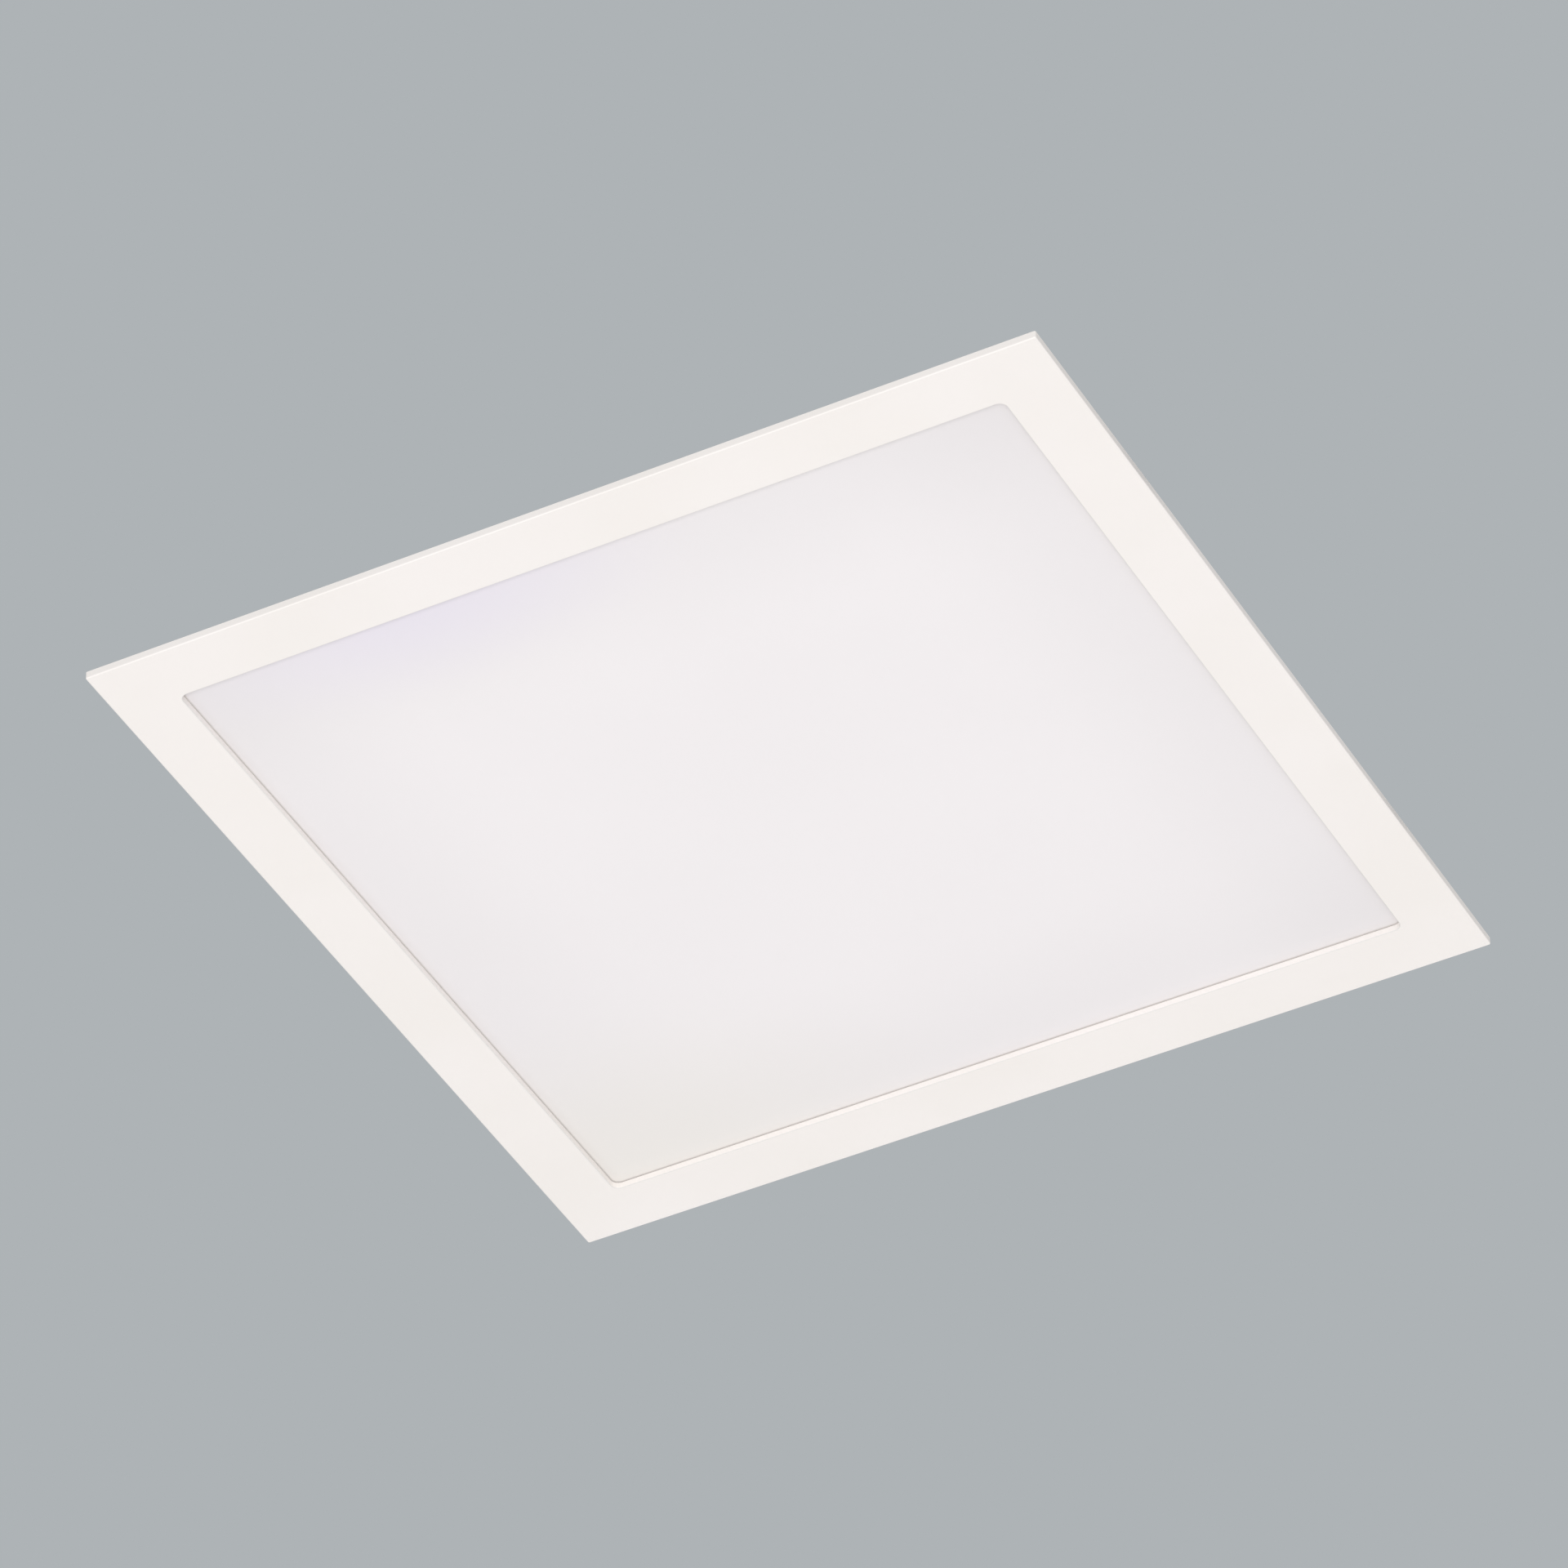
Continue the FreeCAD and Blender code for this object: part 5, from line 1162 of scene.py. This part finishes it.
@dataclass
class SpringClip:
    """One sprung clip: a torsion spring round the pin presses the arm down on the ceiling board.

    The sizes are in millimetres, in the clip's own frame: the origin is on the pin's axis, X points
    outwards, Y along the pin and Z up.
    """

    joint: dict
    wire_radius: float = 0.5
    coil_radius: float = 2.35
    turns: float = 4.0
    rest_angle_deg: float = 12.0
    arm_leg: float = 12.0
    base_leg: float = 8.5
    leg_bend: float = 1.5
    seat_drop: float = 5.35
    steps_per_turn: int = 40
    bend_steps: int = 8
    wire_sides: int = 16

    @property
    def corner(self) -> str:
        """The clip's corner, as its joint's name gives it."""
        return self.joint["name"].removeprefix("arm_").removesuffix("_hinge")

    @property
    def node(self) -> str:
        """The name of the spring's node."""
        return f"clip_spring_{self.corner}"

    @property
    def sweep(self) -> float:
        """How far the wire goes round the pin, in radians."""
        return math.tau * (self.turns - self.rest_angle_deg / 360)

    @cached_property
    def half_width(self) -> float:
        """Half the length of the coil between the middles of its end turns, from the node's box."""
        low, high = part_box(self.node)
        return (high.y - low.y) / 2 / MM - self.wire_radius

    @cached_property
    def to_frame(self) -> Matrix:
        """The way from the clip's own frame in millimetres to the part's frame.

        Returns:
            The matrix.
        """
        place = Matrix.Translation(Vector(self.joint["pos_m"]))
        outwards = Matrix.Rotation(0 if self.joint["pos_m"][0] > 0 else math.pi, 4, "Z")
        return place @ outwards @ Matrix.Scale(MM, 4)

    def coil_point(self, turned: float) -> Vector:
        """Gives a point of the coil's centre line.

        Args:
            turned: how far the wire has gone round the pin, in radians.

        Returns:
            The point in the clip's own frame.
        """
        y = self.half_width * (2 * turned / self.sweep - 1)
        angle = turned - math.pi / 2
        return Vector((self.coil_radius * math.cos(angle), y, self.coil_radius * math.sin(angle)))

    def centre_line(self) -> list[Vector]:
        """Lists the points of the wire from the foot of its base leg to the tip of its arm leg.

        Returns:
            The points in the clip's own frame.
        """
        side = -self.half_width
        bend_x = self.leg_bend - self.base_leg
        bend_level = -self.coil_radius - self.leg_bend
        points = [Vector((bend_x - self.leg_bend, side, -self.seat_drop))]
        for step in range(self.bend_steps + 1):
            angle = math.pi - math.pi / 2 * step / self.bend_steps
            x = bend_x + self.leg_bend * math.cos(angle)
            points.append(Vector((x, side, bend_level + self.leg_bend * math.sin(angle))))
        count = round(self.turns * self.steps_per_turn)
        points += [self.coil_point(self.sweep * step / count) for step in range(count + 1)]
        tilt = math.radians(self.rest_angle_deg)
        along = Vector((math.cos(tilt), 0, -math.sin(tilt)))
        points.append(points[-1] + along * self.arm_leg)
        return points

    def build(self, wire: WireTree, dresser: Dresser) -> None:
        """Builds the spring.

        Args:
            wire: the tree that sweeps a round wire along a path.
            dresser: holds the wire's finish.
        """
        points = [self.to_frame @ point for point in self.centre_line()]
        path = plain_mesh("spring_path", points, [(i, i + 1) for i in range(len(points) - 1)])
        sizes = {"Wire Radius": self.wire_radius * MM, "Sides": self.wire_sides}
        values = sizes | {"Material": dresser.materials["spring_wire"]}
        spring = wire.run(f"torsion_spring_{self.corner}", path, values)
        stand_in(spring, self.node)
        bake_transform(spring)


@dataclass(frozen=True)
class DippedSleeve:
    """The soft vinyl sleeve over a clip arm's end.

    It is longest along the arm. Its sections are rounded oblongs in millimetres, across the arm and
    through its thickness, in the arm's own frame, which is the clip's frame tilted down about the pin.
    Its mouth is a rolled bead, and its sides and faces swell a little towards the middle.
    """

    clip: SpringClip
    mouth: float = 29.0
    nose: float = 45.6
    half_width: float = 7.0
    half_depth: float = 1.4
    middle: float = -3.6
    plan_round: float = 3.0
    section_round: float = 1.15
    nose_round: float = 1.3
    least_depth: float = 0.02
    bead: float = 0.16
    bead_length: float = 1.3
    bead_start: float = 0.25
    side_swell: float = 0.05
    face_swell: float = 0.08
    slot_half_width: float = 6.05
    slot_half_depth: float = 0.45
    slot_round: float = 0.15
    slot_end: float = 44.05
    merge_distance: float = 0.002
    sharp_deg: float = 50.0
    arc_steps: int = 6
    stations: int = 30

    def section(self, along: float) -> tuple[float, float]:
        """Gives the sleeve's half width and half depth at one station.

        Args:
            along: the distance from the pin's axis along the arm.

        Returns:
            Both halves.
        """
        wide, deep = self.half_width, self.half_depth
        turned = max(0.0, along - (self.nose - self.plan_round))
        wide -= self.plan_round - math.sqrt(max(0.0, self.plan_round**2 - turned**2))
        sunk = max(0.0, along - (self.nose - self.nose_round)) / self.nose_round
        deep *= math.sqrt(max(0.0, 1 - sunk**2))
        from_mouth = (along - self.mouth) / self.bead_length
        if from_mouth < 1:
            roll = self.bead * math.sin(math.pi * (self.bead_start + (1 - self.bead_start) * from_mouth))
            wide, deep = wide + roll, deep + roll
        swell = math.sin(math.pi * (along - self.mouth) / (self.nose - self.mouth))
        return wide + self.side_swell * swell, max(deep, self.least_depth) + self.face_swell * swell

    def ring(self, along: float, wide: float, deep: float, corner: float) -> list[Point]:
        """Lists the points of one rounded oblong.

        Args:
            along: its place along the arm.
            wide: its half width.
            deep: its half depth.
            corner: the radius of its corners.

        Returns:
            The points, in order round the sleeve.
        """
        corner = min(corner, wide, deep)
        points = []
        for quarter in range(4):
            side = 1 if quarter in (0, 3) else -1
            level = 1 if quarter in (0, 1) else -1
            for step in range(self.arc_steps + 1):
                angle = math.pi / 2 * (quarter + step / self.arc_steps)
                y = side * (wide - corner) + corner * math.cos(angle)
                z = level * (deep - corner) + corner * math.sin(angle)
                points.append((along, y, self.middle + z))
        return points

    def rings(self) -> list[list[Point]]:
        """Lists the sleeve's rings, from inside the slot out over the mouth to the nose.

        Returns:
            The rings.
        """
        slot = (self.slot_half_width, self.slot_half_depth, self.slot_round)
        rows = [self.ring(self.slot_end, *slot), self.ring(self.mouth, *slot)]
        for step in range(self.stations + 1):
            share = math.sin(math.pi / 2 * step / self.stations)
            along = self.mouth + (self.nose - self.mouth) * share
            rows.append(self.ring(along, *self.section(along), self.section_round))
        return rows

    def build(self, dresser: Dresser) -> None:
        """Builds the sleeve, which moves with its arm.

        Args:
            dresser: holds its finish.
        """
        matrix = self.clip.to_frame @ Matrix.Rotation(math.radians(self.clip.rest_angle_deg), 4, "Y")
        shape = bmesh.new()
        rows = [[shape.verts.new(matrix @ Vector(point)) for point in row] for row in self.rings()]
        for near, far in zip(rows, rows[1:]):
            for j in range(len(near)):
                k = (j + 1) % len(near)
                shape.faces.new((near[j], near[k], far[k], far[j]))
        shape.faces.new(rows[0][::-1])
        shape.faces.new(rows[-1])
        bmesh.ops.remove_doubles(shape, verts=shape.verts, dist=self.merge_distance * MM)
        bmesh.ops.recalc_face_normals(shape, faces=shape.faces)
        name = f"dipped_sleeve_{self.clip.corner}"
        sleeve = add_shape(name, shape, dresser.materials["sleeve_vinyl"])
        sleeve.data.shade_smooth()
        sleeve.data.set_sharp_from_angle(angle=math.radians(self.sharp_deg))
        stand_in(sleeve, f"clip_sleeve_{self.clip.corner}")
        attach(sleeve, self.clip.joint["child"])


@dataclass(frozen=True)
class Lamp:
    """A square soft lamp that faces the panel, with its place and side in metres."""

    name: str
    place: Point
    side: float
    watts: float

    def build(self) -> None:
        """Adds the lamp."""
        light = bpy.data.lights.new(self.name, "AREA")
        light.size = self.side
        light.energy = self.watts
        lamp = bpy.data.objects.new(self.name, light)
        lamp.location = self.place
        lamp.rotation_euler = Vector(self.place).to_track_quat("Z", "Y").to_euler()
        lamp.visible_camera = False
        bpy.context.scene.collection.objects.link(lamp)


LAMPS = (
    Lamp("front_lamp", (1.2, -3.5, -3.33), 2.4, 110.0),
    Lamp("upper_lamp", (-1.2, 1.4, 3.6), 1.6, 72.0),
)


@dataclass(frozen=True)
class Studio:
    """The stage, the light from all round, the lamps and the camera.

    The ceiling is seen only from below and the floor only from above, and neither throws light, so that
    the panel's face and its back are both in view from their own side. The lengths are in millimetres.
    A direction of length one that rises or falls by less than half the horizon gets a mix of the light
    from below and the light from above.
    """

    ceiling_colour: str = "AEB3B6"
    floor_colour: str = "D6D9DA"
    backdrop_colour: str = "CDD0D1"
    cut_out: float = 285.0
    reach: float = 6000.0
    ceiling_gap: float = 0.1
    floor_gap: float = 0.2
    horizon_half: float = 0.1
    light_from_below: float = 0.726
    light_from_above: float = 0.55

    def one_sided(self, name: str, surface: str, colour: str) -> Material:
        """Makes a stage material that only views from its front side see.

        Args:
            name: the material's name.
            surface: the type name of its shader node.
            colour: its sRGB hex colour.

        Returns:
            The material.
        """
        material = bpy.data.materials.new(name)
        paint = PaintTree(material)
        rays = paint.add("ShaderNodeLightPath").outputs
        seen = rays["Is Camera Ray"]
        for other in ("Is Glossy Ray", "Is Transmission Ray"):
            seen = paint.add("ShaderNodeMath", (seen, rays[other]), operation="MAXIMUM")
        back = paint.add("ShaderNodeNewGeometry").outputs["Backfacing"]
        front = paint.add("ShaderNodeMath", (seen, back), operation="SUBTRACT", use_clamp=True)
        clear = paint.add("ShaderNodeBsdfTransparent")
        coat = paint.add(surface, {"Color": linear_colour(colour)})
        mix = paint.add("ShaderNodeMixShader", (front, clear, coat))
        paint.add("ShaderNodeOutputMaterial", {"Surface": mix})
        return material

    def add_ceiling(self) -> None:
        """Adds the ceiling board round the cut-out, facing down."""
        rings = [self.cut_out / 2 * MM, self.reach * MM]
        corners = [(1, 1), (-1, 1), (-1, -1), (1, -1)]
        level = self.ceiling_gap * MM
        points = [(x * ring, y * ring, level) for ring in rings for x, y in corners]
        faces = [((i + 1) % 4, 4 + (i + 1) % 4, 4 + i, i) for i in range(4)]
        mesh = plain_mesh("ceiling", points, faces=faces)
        mesh.materials.append(self.one_sided("ceiling_paint", "ShaderNodeEmission", self.ceiling_colour))
        add_piece("ceiling", mesh)

    def add_floor(self) -> None:
        """Adds the floor under the panel's face, facing up."""
        half = self.reach * MM
        level = FRAME_BOX[0].z - self.floor_gap * MM
        corners = [(-1, -1), (1, -1), (1, 1), (-1, 1)]
        mesh = plain_mesh("floor", [(x * half, y * half, level) for x, y in corners], faces=[(0, 1, 2, 3)])
        mesh.materials.append(self.one_sided("floor_paint", "ShaderNodeBsdfDiffuse", self.floor_colour))
        add_piece("floor", mesh)

    def add_world(self) -> None:
        """Lights the scene from all round, more from below than from above, before a pale backdrop."""
        world = bpy.data.worlds.new("studio")
        bpy.context.scene.world = world
        sky = PaintTree(world)
        way = sky.add("ShaderNodeTexCoord").outputs["Generated"]
        height = sky.add("ShaderNodeSeparateXYZ", (way,)).outputs["Z"]
        lights = (self.light_from_below, self.light_from_above)
        level = sky.add("ShaderNodeMapRange", (height, -self.horizon_half, self.horizon_half, *lights))
        seen = sky.add("ShaderNodeLightPath").outputs["Is Camera Ray"]
        tints = {0: seen, 6: level, 7: linear_colour(self.backdrop_colour)}
        tint = sky.add("ShaderNodeMix", tints, data_type="RGBA").outputs[2]
        shade = sky.add("ShaderNodeBackground", {"Color": tint})
        sky.add("ShaderNodeOutputWorld", {"Surface": shade})

    def build(self) -> None:
        """Builds the stage, the light and the camera."""
        bpy.context.scene.view_settings.view_transform = "Standard"
        self.add_ceiling()
        self.add_floor()
        self.add_world()
        for lamp in LAMPS:
            lamp.build()
        Viewpoint().build()


@dataclass(frozen=True)
class Viewpoint:
    """The photograph's camera: below the panel, looking up, with a long lens."""

    azimuth_deg: float = 26.68
    elevation_deg: float = -39.855
    roll_deg: float = -1.24
    aim_mm: Point = (2.11, -14.23, -2.4)
    distance_mm: float = 2921.6
    lens_mm: float = 234.0

    def build(self) -> None:
        """Adds the camera and makes it the scene's own."""
        turn, lift, roll = (math.radians(a) for a in (self.azimuth_deg, self.elevation_deg, self.roll_deg))
        back = Vector((math.sin(turn) * math.cos(lift), -math.cos(turn) * math.cos(lift), math.sin(lift)))
        level = Vector((math.cos(turn), math.sin(turn), 0))
        upright = back.cross(level)
        right = level * math.cos(roll) + upright * math.sin(roll)
        up = back.cross(right)
        data = bpy.data.cameras.new("photograph_view")
        data.lens = self.lens_mm
        camera = bpy.data.objects.new("photograph_view", data)
        place = Matrix((right, up, back)).transposed().to_4x4()
        place.translation = Vector(self.aim_mm) * MM + back * self.distance_mm * MM
        camera.matrix_world = place
        bpy.context.scene.collection.objects.link(camera)
        bpy.context.scene.camera = camera


def main() -> None:
    """Builds the studio and dresses the panel."""
    logging.basicConfig(level=logging.INFO, format="%(message)s")
    Studio().build()
    dresser = Dresser()
    dresser.dress_nodes()
    wire, screws = WireTree(), ScrewTree()
    for joint in frame["joints"]:
        clip = SpringClip(joint)
        clip.build(wire, dresser)
        DippedSleeve(clip).build(dresser)
    for screw_set in SCREW_SETS:
        screw_set.build(screws, dresser)
    CLIP_RIVETS.build(RivetTree(), dresser)
    LedRows().build(dresser)
    FoamPad().build(dresser)


if __name__ == "__main__":
    main()
